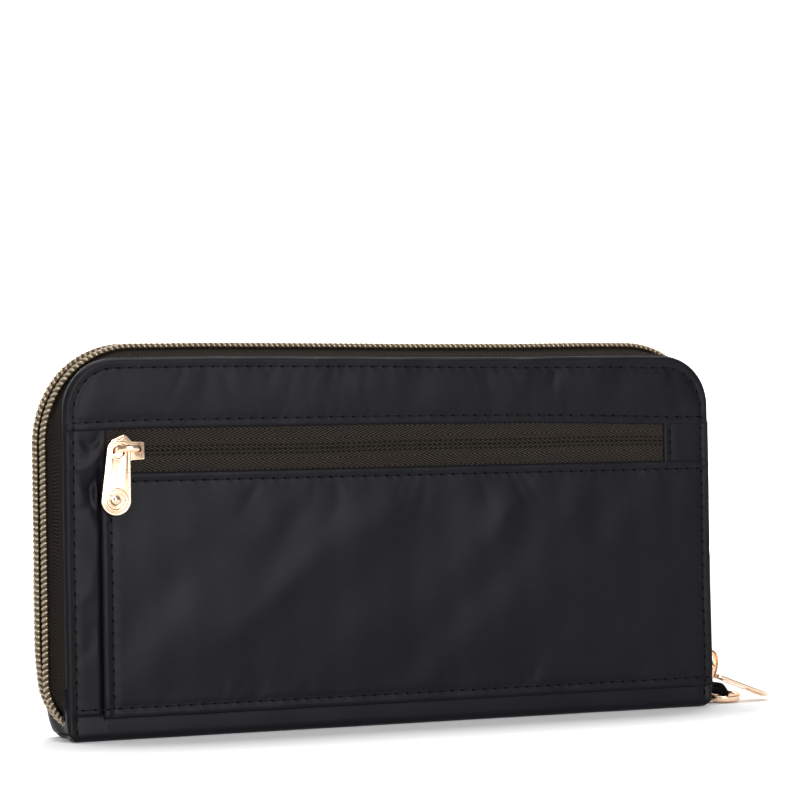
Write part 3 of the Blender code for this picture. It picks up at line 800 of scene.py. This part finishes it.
def needle_hole_shade(line, surface, outward):
    """Near-black marks where the thread goes down, between one stitch and the next: painted shade for the
    needle holes.
    """
    sink = outward * np.array([-0.1, 0.0, 0.03, 0.0, -0.1]) * MM
    radii = np.array([0.1, 0.27, 0.34, 0.27, 0.1]) * MM
    holes = []
    for x, z in stitch_spans(line, np.linspace(-0.85, 0.85, 5) * MM, more=1):
        if math.hypot(x[-1] - x[0], z[-1] - z[0]) >= 1.2 * MM:
            points = np.stack([x, surface(x, z) + sink, z], axis=1)
            holes.append((points, radii, (0, outward, 0), 0.4))
    return holes


def stitch_lines(line, surface, outward):
    """Threads along a seam: each stitch dips into the cloth at both ends."""
    random = np.random.default_rng(SEED + len(line))
    rise = np.array([-0.30, 0.02, 0.14, 0.17, 0.14, 0.02, -0.30]) * MM
    radii = THREAD * np.array([0.55, 0.9, 1.0, 1.0, 1.0, 0.9, 0.55])
    stitches = []
    for x, z in stitch_spans(line, np.linspace(0.12, 0.88, 7) * STITCH_PITCH):
        slant = np.linspace(-1, 1, 7) * (random.normal(0, 0.10) * MM)
        direction = np.array([x[-1] - x[0], z[-1] - z[0]])
        direction /= np.linalg.norm(direction)
        y = surface(x, z) + outward * rise
        points = np.stack([x - direction[1] * slant, y, z + direction[0] * slant], axis=1)
        stitches.append((points, radii, (0, outward, 0), 0.8))
    return stitches


def sew(side, seams, surface):
    """A cover's stitches and the painted shade of its needle holes, one object of each."""
    stitches = [stitch for line in seams for stitch in stitch_lines(line, surface, side)]
    holes = [hole for line in seams for hole in needle_hole_shade(line, surface, side)]
    thread = tubes(f"{COVER[side]}_stitching", stitches, STITCHES)
    hole_shade_marks = tubes(f"{COVER[side]}_needle_hole_shade", holes, HOLE_SHADE)
    return [thread, hole_shade_marks]


def build_front():
    """Base panel, upper panel, patch pocket, end tab and all their stitching."""
    shell = cover_shell("front_shell", FRONT, shell_y)
    edge = 0.3 * MM
    right = HALF - edge
    area = (-right, right, UPPER_BOTTOM, TOP - edge)
    upper = sewn_panel("front_upper", area, CORNER - edge, upper_y)
    patch = sewn_panel("front_patch", (PATCH_LOW.x, right, PATCH_LOW.z, PATCH_HIGH.z), 0, patch_y)
    area = (TAB_LOW.x, right, PATCH_HIGH.z - 1 * MM, UPPER_BOTTOM + 1 * MM)
    tab = sewn_panel("front_end_tab", area, 0, tab_y)
    seams = [EDGE_SEAM_LINE, UPPER_SEAM_LINE, PATCH_TOP_LINE, PATCH_LEFT_LINE, PATCH_BOTTOM_LINE, TAB_LINE]
    sewing = sew(FRONT, seams, front_y)
    for piece in (shell, upper, patch, tab, *sewing):
        settle(piece)
    for piece in sewing:
        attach(piece, "front_cover")
    assign(shell, None, "front_base_panel")
    assign(upper, "front_cover", "upper_panel")
    assign(patch, "front_cover", "pocket_patch")
    assign(tab, "front_cover", "pocket_end_tab")
    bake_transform(shell)


def build_back():
    """The back cover's outer cloth with its edge stitching."""
    shell = cover_shell("back_shell", REAR, back_y)
    sewing = sew(REAR, [EDGE_SEAM_LINE], back_y)
    for piece in (shell, *sewing):
        settle(piece)
    for piece in sewing:
        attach(piece, "back_cover")
    assign(shell, None, "back_panel")
    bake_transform(shell)


def spine_sheet(name, node, spare, outer_z, inner_z, material):
    """A sheet over the spine; outer_z gives the height of its crowned side."""
    low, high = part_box(node)
    y = spaced(low.y - spare, high.y + spare, 1 * MM, 1.5 * MM)
    x, y = np.meshgrid(spaced(low.x, high.x, 2 * MM), y)
    edge = np.minimum(high.x - np.abs(x), high.y + spare - np.abs(y))
    outer = np.stack([x, y, outer_z(x, y, edge)], axis=2)
    inner = np.stack([x, y, np.full_like(x, inner_z)], axis=2)
    sheet = sheet_solid(name, outer, inner, material)
    assign(sheet, "root", node)


def build_spine():
    """Outer cloth under the spine, and its lining, both slightly crowned."""
    low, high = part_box("spine_lining")

    def skin_z(x, y, edge):
        return 0.05 * MM + rounded_edge(edge, 0.4 * MM)

    def lining_z(x, y, edge):
        wave = 0.12 * MM * ripples(x, y, SEED + 6, 16 * MM, 0.2)
        return high.z + wave * ramp(edge, 2) - rounded_edge(edge, 0.3 * MM)

    spine_sheet("spine_skin", "spine_panel", 0.2 * MM, skin_z, 0.9 * MM, NYLON)
    spine_sheet("spine_inside", "spine_lining", 0.0, lining_z, low.z, LINING)


# ---- Main zip ----
def zip_stations(spacing, rise):
    """Evenly spaced places along the zip: base points, outward directions, the covers' edge beside them.

    The line starts at the sewn end low on the left, where it curves in under the covers while
    their edge stays straight, and it takes the top corners wider than they do. The last result
    is the distance along.
    """
    steps = 40
    arcs = [(ZIP_END_CENTRE, ZIP_END_RADIUS, ZIP_END_ANGLE, 180, steps)]
    arcs += top_corners(ZIP_CORNER, ZIP_CORNER, 60)
    last = np.array([(HALF, ZIP_RIGHT_END)])
    base = np.concatenate([*(arc_points(*arc) for arc in arcs), last])
    left = np.stack([np.full(steps, -HALF), np.linspace(2.6 * MM, ZIP_END_CENTRE.y, steps)], axis=1)
    seam = np.concatenate([left, *(arc_points(*arc) for arc in top_corners(CORNER, CORNER, 60)), last])
    angles = np.radians(np.concatenate([*(np.linspace(*arc[2:]) for arc in arcs), [0.0]]))
    normal = np.stack([np.cos(angles), np.sin(angles)], axis=1)
    run = run_along(base + normal * rise)
    at = np.arange(0, run[-1], spacing)
    return resample(base, run, at), unit(resample(normal, run, at)), resample(seam, run, at), at


def zip_lean(base, side):
    """How much further out the back half of the zip stands, up the left side and round its corner."""
    if side == FRONT:
        return np.zeros(len(base))
    return 1.5 * MM * ramp(base[:, 1] - 8 * MM, 22) * ramp(-base[:, 0] - 78 * MM, 30)


def build_zip_coil(side):
    """A metal-coated coil: a slanting helix whose heads mesh with the other half's."""
    per_turn = 10
    rise = TAPE_RISE + 1.25 * MM
    base, outward, _, at = zip_stations(COIL_PITCH / per_turn, rise)
    turn = math.tau * np.arange(len(at)) / per_turn + (math.pi if side == REAR else 0.0)
    reach = 1.62 * MM + 1.3 * MM * np.cos(turn)
    height = rise + zip_lean(base, side)
    slant = 0.34 * MM * np.cos(turn)
    tangent = np.stack([outward[:, 1], -outward[:, 0]], axis=1)
    line = base + outward * (height - 0.58 * MM * np.sin(turn))[:, None] + tangent * slant[:, None]
    wire = (in_space(line, side * reach), np.full(len(at), COIL_WIRE), in_space(tangent, 0.0), 1.0)
    coil = tubes(f"{COVER[side]}_coil", [wire], COIL, 7)
    middle = in_space(base + outward * height[:, None], side * 1.45 * MM)[::4]
    core = (middle, np.full(len(middle), 1.36 * MM), in_space(outward, 0.0)[::4], 0.56)
    cord = tubes(f"{COVER[side]}_coil_cord", [core], CORD, 10)
    for piece, node in ((coil, f"{COVER[side]}_zip_coil"), (cord, None)):
        settle(piece)
        assign(piece, None, node)
        blend_at_zip_end(piece)


def build_zip_tape(side):
    """Half of the tape: from under the cover's edge to the middle of the zip."""
    base, outward, seam, at = zip_stations(0.9 * MM, TAPE_RISE)
    share = np.array([0, 0.08, 0.18, 0.3, 0.42, 0.54, 0.66, 0.76, 0.86, 0.94, 1.0])
    reach = (10.9 * (1 - share) + 0.08 * share) * MM
    rises = np.array([-0.8, 0.15, 0.9, 1.8, 2.6, 2.9, 2.9]) * MM
    rise = np.interp(share, [0, 0.1, 0.3, 0.6, 0.76, 0.86, 1], rises)
    middle = smooth_step(share / 0.72)
    lean = zip_lean(base, side)
    low = (base[:, 1] < ZIP_END_CENTRE.y) & (base[:, 0] < 0)
    seam_outward = np.where(low[:, None], np.array([-1.0, 0.0]), outward)
    grids = []
    for offset in (0.0, -0.45 * MM):
        rows = []
        for place, height, weight in zip(reach, rise, middle):
            near = seam + seam_outward * (height + offset)
            if side == REAR:
                near[:, 0] += drawn_in(near[:, 1]) * (near[:, 0] < 0)
            far = base + outward * (height + offset + lean * weight)[:, None]
            rows.append(in_space(near * (1 - weight) + far * weight, side * place))
        grids.append(np.stack(rows))
    tape = sheet_solid(f"{COVER[side]}_tape", *grids, MAIN_TAPE, np.meshgrid(at, reach))
    settle(tape)
    assign(tape, None, f"{COVER[side]}_zip_tape")
    blend_at_zip_end(tape)


def blend_at_zip_end(piece):
    """The lower left end is sewn to the spine; here the piece only has its place baked into its mesh and
    rides on no body.
    """
    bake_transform(piece)


def across_line(line, y):
    """Points along an (x, z) line, one row of them for each Y."""
    return np.stack([in_space(line, place) for place in y])


def smoothed(line, times):
    """A line with its inner points drawn towards their neighbours."""
    for _ in range(times):
        line[1:-1] = (line[:-2] + 2 * line[1:-1] + line[2:]) / 4
    return line


def build_zip_ends():
    """Cloth tabs on the spine that close both ends of the main zip."""
    route = [(-98, 0.25), (-104.5, 0.3), (-107.9, 1.3), (-109.3, 5.0), (-110.2, 10.5), (-110.6, 16)]
    line = smoothed(resample(np.array(route) * MM, np.arange(6), np.linspace(0, 5, 26)), 3)
    half_width = 10.6 * MM
    y = np.linspace(-1, 1, 19) * half_width
    sag = 1.3 * MM * (1 - (y / half_width) ** 2) + 0.3 * MM * np.sin(y / (1.6 * MM))
    outer = across_line(line, y)
    outer[:, :, 0] += sag[:, None] * smooth_step(np.arange(26) / 14)[None, :]
    left = sheet_solid("zip_stop_left", outer, outer + np.array([0.5, 0, 0.35]) * MM, NYLON)
    assign(left, "root", "zip_end_left")

    low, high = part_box("zip_end_right")
    route = [(low.x, low.z), (low.x + 3 * MM, low.z + 0.4 * MM), (high.x - 6 * MM, high.z - 1.2 * MM)]
    route += [(high.x - 3 * MM, high.z - 0.4 * MM), (high.x, high.z - 0.3 * MM)]
    line = resample(np.array(route), np.linspace(0, 1, 5), np.linspace(0, 1, 20))
    share = np.linspace(-1, 1, 15)
    sag = 1.2 * MM * share**2 + 0.2 * MM * np.sin(share * 5.5)
    outer = across_line(line, share * 8.6 * MM)
    outer[:, :, [0, 2]] -= sag[:, None, None]
    right = sheet_solid("zip_stop_right", outer, outer - np.array([0, 0, 0.7]) * MM, NYLON)
    assign(right, "root", "zip_end_right")


# ---- Pocket zip ----
def build_pocket_zip():
    """Two flat tapes that meet in a seam, with the dark coil behind them."""
    places = np.array([0.06, 0.2, 0.5, 0.9, 1.5, 2.2, 2.9, 3.6, 4.5, 5.6, 7.0, 8.4, 9.2]) * MM
    for name, side in (("upper", 1), ("lower", -1)):
        low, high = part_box(f"pocket_tape_{name}")
        x, across = np.meshgrid(np.arange(low.x, high.x, 1.2 * MM), places)
        z = POCKET_ZIP_Z + side * across
        z = z + 0.18 * MM * np.sin(x / (31 * MM)) + 0.10 * MM * np.sin(x / (11 * MM) + 1)
        y = low.y + 0.35 * MM * bell(across, 0.35 * MM) - 0.25 * MM * bell(across - 1.8 * MM, 1.4 * MM)
        y += 0.12 * MM * ripples(x, z, SEED + 7, 20 * MM, 0.3)
        grids = upright(x, y, z), upright(x, y + 0.4 * MM, z)
        tape = sheet_solid(f"pocket_zip_{name}", *grids, POCKET_TAPE, (x, across))
        assign(tape, "front_cover", f"pocket_tape_{name}")

        low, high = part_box(f"pocket_coil_{name}")
        per_turn = 6
        count = int((high.x - low.x) / COIL_PITCH) * per_turn
        turn = math.tau * np.arange(count) / per_turn + (math.pi if side > 0 else 0.0)
        x = low.x + np.arange(count) * COIL_PITCH / per_turn
        z = POCKET_ZIP_Z + side * (1.5 * MM + 1.1 * MM * np.cos(turn))
        y = (low.y + high.y) / 2 + 0.15 * MM * np.sin(turn)
        line = (np.stack([x, y, z], axis=1), np.full(count, 0.28 * MM), (1.0, 0.0, 0.0), 1.0)
        coil = tubes(f"pocket_teeth_{name}", [line], DARK_COIL, 5)
        assign(coil, "front_cover", f"pocket_coil_{name}")


# ---- Sliders, pulls and ring: each is made lying flat, X along it and Z outwards ----
def curve_solid(lines, cyclic, place, **settings):
    """The mesh object that Blender's bevel makes of some curves, with welded caps."""
    curve = bpy.data.curves.new("curve", "CURVE")
    for key, value in settings.items():
        setattr(curve, key, value)
    for line in lines:
        spline = curve.splines.new("POLY")
        spline.points.add(len(line) - 1)
        for point, co in zip(spline.points, line):
            point.co = (*co, 1.0)
        spline.use_cyclic_u = cyclic
    thing = add_to_scene("curve", curve)
    bpy.context.view_layer.update()
    mesh = bpy.data.meshes.new_from_object(thing.evaluated_get(bpy.context.evaluated_depsgraph_get()))
    turn_outwards(mesh, 0.004 * MM)
    bpy.data.objects.remove(thing, do_unlink=True)
    mesh.transform(place)
    return add_to_scene("solid", mesh)


def plate(outlines, thickness, rounding, height=0.0):
    """A flat plate with rounded rims, its middle at the height."""
    return curve_solid(
        [[(x, y, 0.0) for x, y in outline] for outline in outlines],
        True,
        Matrix.Translation((0, 0, height)),
        dimensions="2D",
        fill_mode="BOTH",
        extrude=thickness / 2 - rounding,
        bevel_depth=rounding,
        bevel_resolution=3,
        offset=-rounding,
    )


def strap(points, radius, wide):
    """A bent bar of metal, wider across Y than it is thick."""
    place = Matrix.Diagonal((1.0, wide, 1.0, 1.0))
    settings = {"dimensions": "3D", "bevel_depth": radius, "bevel_resolution": 4, "use_fill_caps": True}
    return curve_solid([points], False, place, **settings)


def join(name, parts, place):
    """One metal object of several, moved to its place and shaded smooth with its edges kept."""
    merged = bmesh.new()
    for part in parts:
        merged.from_mesh(part.data)
        bpy.data.objects.remove(part, do_unlink=True)
    mesh = bpy.data.meshes.new(name)
    merged.to_mesh(mesh)
    merged.free()
    mesh.materials.clear()
    mesh.materials.append(ROSE_GOLD)
    for polygon in mesh.polygons:
        polygon.material_index = 0
    mesh.transform(place)
    mesh.shade_smooth()
    mesh.set_sharp_from_angle(angle=math.radians(38))
    return add_to_scene(name, mesh)


def turned(name, profile, segments=72):
    """A metal part turned about Z from a closed profile of (radius, height) points."""
    profile = np.asarray(profile, float)
    angle = (np.arange(segments) * math.tau / segments)[:, None]
    height = np.broadcast_to(profile[:, 1], (segments, len(profile)))
    rings = np.stack([np.cos(angle) * profile[:, 0], np.sin(angle) * profile[:, 0], height], axis=2)
    faces = grid_faces(segments + 1, len(profile), wrap=True) % (segments * len(profile))
    return make_object(name, rings.reshape(-1, 3), faces, ROSE_GOLD)


def round_corners(points, radius, steps):
    """A closed outline with its corners rounded."""
    result = []
    count = len(points)
    for index in range(count):
        corner = Vector(points[index])
        before = (Vector(points[index - 1]) - corner).normalized()
        after = (Vector(points[(index + 1) % count]) - corner).normalized()
        start, end = corner + before * radius, corner + after * radius
        for step in range(steps + 1):
            t = step / steps
            result.append(tuple((1 - t) ** 2 * start + 2 * t * (1 - t) * corner + t**2 * end))
    return result


def slider_outline(half_width, shrink):
    """A slider plate with a straight narrow end at -X, flared cheeks and a round shoulder at +X."""
    side = [(-5.8, 0.54), (-1.7, 0.58), (-0.5, 0.88), (0.6, 1.0), (2.2, 0.88), (4.6, 0.68), (5.9, 0.32)]
    corners = [(x, -y) for x, y in side] + side[::-1]
    scale = 1 - shrink / half_width
    return round_corners([(x * MM * scale, y * half_width * scale) for x, y in corners], 0.35 * MM * scale, 3)


def bridge_points(length, lean):
    """The bridge over the outer plate: an arch that is highest towards the tail.

    lean moves it sideways as it rises.
    """
    shape = [(-1.0, -0.15), (-0.97, 0.25), (-0.78, 0.72), (-0.5, 0.94), (-0.25, 1.0), (0.1, 0.94)]
    shape += [(0.45, 0.8), (0.75, 0.6), (0.93, 0.35), (1.0, -0.15)]
    line = resample(np.array(shape), np.arange(10), np.linspace(0, 9, 40)) * (length / 2, 2.95 * MM)
    return [(x, lean * z, z) for x, z in smoothed(line, 6)]


def build_slider(name, node, place, thickness, half_width, bridge_length, bridge_wide, lean=0.0):
    """Outer plate with a raised cap, inner plate, the wedge between them and the bridge."""
    wedge = [(1.4 * MM, -0.2 * MM), (4.6 * MM, -0.2 * MM), (4.6 * MM, 0.2 * MM), (1.4 * MM, 0.2 * MM)]
    parts = [
        plate([slider_outline(half_width, 0.0)], 1.1 * MM, 0.22 * MM, -0.55 * MM),
        plate([slider_outline(half_width, 1.0 * MM)], 0.5 * MM, 0.15 * MM, -0.05 * MM),
        plate([slider_outline(3.9 * MM, 0.2 * MM)], 0.8 * MM, 0.2 * MM, -thickness + 0.4 * MM),
        plate([wedge], thickness - 1.2 * MM, 0.03 * MM, -thickness / 2 - 0.1 * MM),
        strap(bridge_points(bridge_length, lean / 2), 0.52 * MM, bridge_wide),
    ]
    assign(join(name, parts, place), node, node)


def pull_outline(top, length, shrink):
    """A tab hanging along -X: straight top with round corners, round end."""
    end_radius = 4.7 * MM - shrink
    half_top = 3.7 * MM - shrink
    corner = 2.3 * MM - shrink
    top -= shrink
    end = top + shrink - length + 4.7 * MM
    upper = np.radians(np.linspace(0, 90, 10))
    lower = np.radians(np.linspace(95, 265, 36))
    points = [(top - corner + corner * math.cos(a), half_top - corner + corner * math.sin(a)) for a in upper]
    points += [(end + end_radius * math.cos(a), end_radius * math.sin(a)) for a in lower]
    points += [(x, -y) for x, y in points[len(upper) - 1 :: -1]]
    return points


def circle(x, radius, count=40):
    return [(x + radius * math.cos(a), radius * math.sin(a)) for a in np.arange(count) * math.tau / count]


def roundel(height):
    """Rings round a low dome, one profile for one face of a pull."""
    rings = [(0.0, 0.34), (0.8, 0.30), (1.05, 0.10), (1.35, 0.08), (1.6, 0.28), (2.1, 0.30), (2.35, 0.02)]
    rings += [(2.75, -0.02), (3.0, 0.26), (3.3, 0.34), (3.55, 0.26), (3.7, 0.0), (3.7, -0.2), (0.0, -0.2)]
    return [(radius * MM, height + lift * MM) for radius, lift in rings]


def build_pull(name, node, top, eye, place):
    """A thin tab with a raised rim, an eye with its own rim and a plain ringed roundel."""
    length = 22.5 * MM
    hole = 1.85 * MM
    outlines = [pull_outline(top, length, shrink) for shrink in (0.35 * MM, 0.0, 0.8 * MM)]
    parts = [
        plate([outlines[0], circle(eye, hole + 0.25 * MM)], 0.7 * MM, 0.1 * MM),
        plate(outlines[1:], 1.0 * MM, 0.22 * MM),
        plate([circle(eye, hole + 0.95 * MM), circle(eye, hole)], 1.0 * MM, 0.3 * MM),
    ]
    middle = Matrix.Translation((top - length + 4.75 * MM, 0, 0))
    for turn in (0.0, math.pi):
        boss = turned("boss", roundel(0.3 * MM))
        boss.data.transform(middle @ Matrix.Rotation(turn, 4, "X"))
        parts.append(boss)
    assign(join(name, parts, place), node, node)


def axes_at(origin, along, across, outwards):
    turn = Matrix((along, across, outwards)).transposed().to_4x4()
    return Matrix.Translation(origin) @ turn


def joint_place(name, x, z):
    """A place beside a hinge's axis, from the axis in mm."""
    pivot = Vector(next(j["pos_m"] for j in frame["joints"] if j["name"] == name))
    return pivot + Vector((x, 0, z)) * MM


def build_hardware():
    """Both sliders and both pulls."""
    low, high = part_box("main_slider")
    face = high.x - BRIDGE_TOP
    place = axes_at((face, 0, (low.z + high.z) / 2), (0, 0, -1), (0, 1, 0), (1, 0, 0))
    build_slider("zip_slider", "main_slider", place, face - low.x, 4.9 * MM, 9.8 * MM, 3.1)

    low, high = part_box("pocket_slider")
    face = low.y + BRIDGE_TOP
    place = axes_at(((low.x + high.x) / 2, face, POCKET_ZIP_Z), (-1, 0, 0), (0, 0, 1), (0, -1, 0))
    build_slider("pocket_zip_slider", "pocket_slider", place, high.y - face, 5.0 * MM, 8.6 * MM, 2.0, 0.27)

    slope = math.radians(MAIN_PULL_SLOPE)
    lean = Vector((math.cos(slope), 0.0, -math.sin(slope)))
    upwards = Vector((math.sin(slope), 0.0, math.cos(slope)))
    pivot = joint_place("main_pull_swing", 0.4, -1.25)
    place = axes_at(pivot, -lean, upwards.cross(-lean), upwards)
    build_pull("zip_pull", "main_pull", 0.7 * MM, -2.55 * MM, place)

    tilt = math.radians(POCKET_PULL_TILT)
    upwards = Vector((math.sin(tilt), 0.0, math.cos(tilt)))
    outwards = Vector((0.0, -1.0, 0.0))
    pivot = joint_place("pocket_pull_swing", 0.8, 0.2)
    place = axes_at(pivot, upwards, outwards.cross(upwards), outwards)
    build_pull("pocket_zip_pull", "pocket_pull", 2.75 * MM, -0.5 * MM, place)


def build_ring():
    """A flat-banded ring and the ribbon loop that holds it."""
    low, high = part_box("key_ring")
    centre = (low + high) / 2 - Vector((0, 0, 0.2 * MM))
    outer = (high.x - low.x) / 2
    inner = outer - 1.55 * MM
    tall = 1.0 * MM
    section = round_corners([(inner, -tall), (outer, -tall), (outer, tall), (inner, tall)], 0.45 * MM, 4)
    ring = turned("ring", section, 96)
    ring.data.transform(Matrix.Translation(centre) @ Matrix.Rotation(math.radians(6.5), 4, "X"))
    assign(ring, "key_ring", "key_ring")

    low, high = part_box("ring_loop")
    middle = 4.3 * MM
    reach = 2.05 * MM
    bend = high.x - reach - 1.3 * MM
    start = low.x - 3.6 * MM
    route = [(start, middle + reach * 0.35), (low.x + 4 * MM, middle + reach * 0.8)]
    route += [(bend - 2.4 * MM, middle + reach), *drooping((bend, middle), reach, np.linspace(90, -90, 20))]
    route += [(bend - 2.4 * MM, middle - reach - 0.5 * MM), (bend - 5 * MM, 0.9 * MM), (start, 0.8 * MM)]
    build_ribbon("ribbon_loop", np.array(route), low.y, high.y, "ring_loop")
    radii = np.linspace(reach - 0.85 * MM, 0.35 * MM, 60)
    rolled = drooping((bend, middle), radii, np.linspace(90, 90 - 360 * 1.9, 60))
    build_ribbon("ribbon_tail", rolled, low.y + 0.15 * MM, high.y - 0.15 * MM)


def drooping(centre, radius, turns):
    """Points of a bend or coil of soft ribbon that sags away from the wallet."""
    reach = radius * (1 + 0.85 * bell((turns + 38 + 180) % 360 - 180, 36))
    angle = np.radians(turns)
    return np.stack([centre[0] + reach * np.cos(angle), centre[1] + reach * np.sin(angle)], axis=1)


def build_ribbon(name, route, low_y, high_y, node=None):
    """A ribbon whose long middle line is given in the XZ plane."""
    run = run_along(route)
    at = np.linspace(0, run[-1], 56)
    line = resample(route, run, at)
    tangent = unit(np.gradient(line, axis=0))
    normal = np.stack([-tangent[:, 1], tangent[:, 0]], axis=1) * 0.38 * MM
    y = np.linspace(low_y, high_y, 11)
    grids = across_line(line + normal, y), across_line(line - normal, y)
    assign(sheet_solid(name, *grids, RIBBON, np.meshgrid(at, y)), "root", node)


# ---- Inside ----
def inside_panel(name, node, side, radius, hem=True):
    """A thin lining panel that faces the wallet's middle, with a stitched hem along its top."""
    low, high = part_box(node)
    seen, hidden = (high.y, low.y) if side == FRONT else (low.y, high.y)
    x, z = panel_grid(low.x, high.x, low.z, high.z, radius, 2 * MM)
    edge = edge_distance(x, z, low.x, high.x, low.z, high.z, radius)

    def surface(px, pz):
        return seen - side * (0.05 * MM * ripples(px, pz, SEED + 8, 22 * MM, 0.4) - 0.08 * MM)

    y = surface(x, z) + side * rounded_edge(edge, 0.15 * MM)
    lining = sheet_solid(name, upright(x, y, z), upright(x, hidden, z), LINING)
    assign(lining, f"{COVER[side]}_cover", node)
    if hem:
        line = np.array([(low.x + 2 * MM, high.z - 2.2 * MM), (high.x - 2 * MM, high.z - 2.2 * MM)])
        stitches = stitch_lines(line, lambda px, pz: surface(px, pz) + side * 0.12 * MM, -side)
        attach(tubes(name + "_hem", stitches, STITCHES, 5), f"{COVER[side]}_cover")


def build_passport_pocket():
    """Front wall on a pleated gusset round three sides, open at the top."""
    low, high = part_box("passport_pocket")
    thin = 0.45 * MM
    x, z = panel_grid(low.x, high.x, low.z, high.z, 0, 2 * MM)
    edge = edge_distance(x, z, low.x, high.x, low.z, high.z + 1, 0)
    y = low.y + rounded_edge(edge, 0.35 * MM) + 0.08 * MM * (1 + ripples(x, z, SEED + 9, 30 * MM, 0.7))
    wall = sheet_solid("passport_wall", upright(x, y, z), upright(x, low.y + thin + 0.1 * MM, z), LINING)
    assign(wall, "back_cover", "passport_pocket")

    line = np.array([(low.x, high.z), (low.x, low.z), (high.x, low.z), (high.x, high.z)])
    inwards = np.array([(1, 0), (1, 1), (-1, 1), (-1, 0)])
    share = np.linspace(0, 1, 9)
    pleat = 2.2 * MM * (1 - np.abs(2 * share - 1))
    y = low.y + thin + 0.15 * MM + share * (high.y - low.y - thin - 0.2 * MM)
    grids = [
        np.stack([in_space(line + inwards * (deep + offset), place) for deep, place in zip(pleat, y)])
        for offset in (0.0, thin)
    ]
    gusset = sheet_solid("passport_gusset", *grids, LINING)
    assign(gusset, "back_cover")


def build_inside():
    inside_panel("front_inside", "front_lining", FRONT, CORNER - 0.5 * MM, hem=False)
    inside_panel("back_inside", "back_lining", REAR, CORNER - 0.5 * MM, hem=False)
    for number in (1, 2, 3):
        inside_panel(f"card_pocket_{number}", f"card_tier_{number}", FRONT, 0)
    inside_panel("slip_pocket_panel", "slip_pocket", REAR, 0)
    build_passport_pocket()
    for name in ("front_board", "back_board", "spine_board"):
        board = frame["nodes"][name]
        board.data.materials.clear()
        board.data.materials.append(BOARD)


# ---- Studio ----
CAMERA_TURNS = [(-23.3, "Z"), (90.32, "X"), (-0.87, "Z")]  # aim sideways, aim up, roll


def build_camera():
    """A long lens a little below the wallet's top, with a slight roll."""
    data = bpy.data.cameras.new("camera")
    data.sensor_width = 36
    data.lens = 137.2
    data.clip_start, data.clip_end = 0.05, 50
    camera = add_to_scene("camera", data)
    turns = [Matrix.Rotation(math.radians(angle), 4, axis) for angle, axis in CAMERA_TURNS]
    camera.matrix_world = Matrix.Translation((-0.380, -0.895, 0.0968)) @ turns[0] @ turns[1] @ turns[2]
    SCENE.camera = camera


def add_light(name, place, target, size, power):
    data = bpy.data.lights.new(name, "AREA")
    data.shape = "RECTANGLE"
    data.size, data.size_y = size
    data.energy = power
    light = add_to_scene(name, data)
    light.location = place
    light.rotation_euler = (Vector(target) - Vector(place)).to_track_quat("-Z", "Y").to_euler()


def build_studio():
    """A white sweep that turns up behind the wallet, large soft lights and a white surround."""
    radius, depth, reach = 1.2, 2.0, 6.0
    turn = np.linspace(0, math.pi / 2, 24)[1:]
    profile = [(-4.0, 0.0), (depth, 0.0)]
    profile += [(depth + radius * math.sin(a), radius * (1 - math.cos(a))) for a in turn]
    profile.append((depth + radius, 5.0))
    verts = [(side * reach, y, z) for y, z in profile for side in (-1, 1)]
    n = Nodes("studio_white", 0.9)
    n.shade(Base_Color=n.mix(n.noise(n.place(), 0.4), (0.93, 0.93, 0.93), (0.95, 0.95, 0.95)))
    n.shade(Specular_IOR_Level=0.1)
    floor = make_object("sweep", verts, grid_faces(len(profile), 2), n.material)
    for polygon in floor.data.polygons:
        if polygon.normal.z < 0:
            polygon.flip()
    floor.location.z = -0.05 * MM

    world = bpy.data.worlds.new("studio")
    world.use_nodes = True
    background = world.node_tree.nodes["Background"]
    background.inputs["Color"].default_value = (1.0, 1.0, 1.0, 1.0)
    background.inputs["Strength"].default_value = 0.3
    SCENE.world = world
    add_light("overhead", (0.0, 0.32, 1.3), (0, 0, 0.0), (1.3, 0.35), 14)
    add_light("key", (0.02, -1.5, 0.40), (-0.08, 0, 0.06), (0.42, 0.85), 22)
    add_light("panel", (0.42, -1.5, 0.05), (-0.09, 0, 0.07), (0.32, 0.5), 0.8)
    add_light("side", (-1.3, -0.5, 0.6), (-0.05, 0, 0.05), (0.6, 0.8), 3.5)
    add_light("backdrop", (0.7, 1.0, 0.8), (1.0, 3.2, 0.55), (5.5, 1.4), 250)
    SCENE.view_settings.view_transform = "Standard"


build_front()
build_back()
build_spine()
for zip_side in (FRONT, REAR):
    build_zip_coil(zip_side)
    build_zip_tape(zip_side)
build_zip_ends()
build_pocket_zip()
build_hardware()
build_ring()
build_inside()
build_camera()
build_studio()
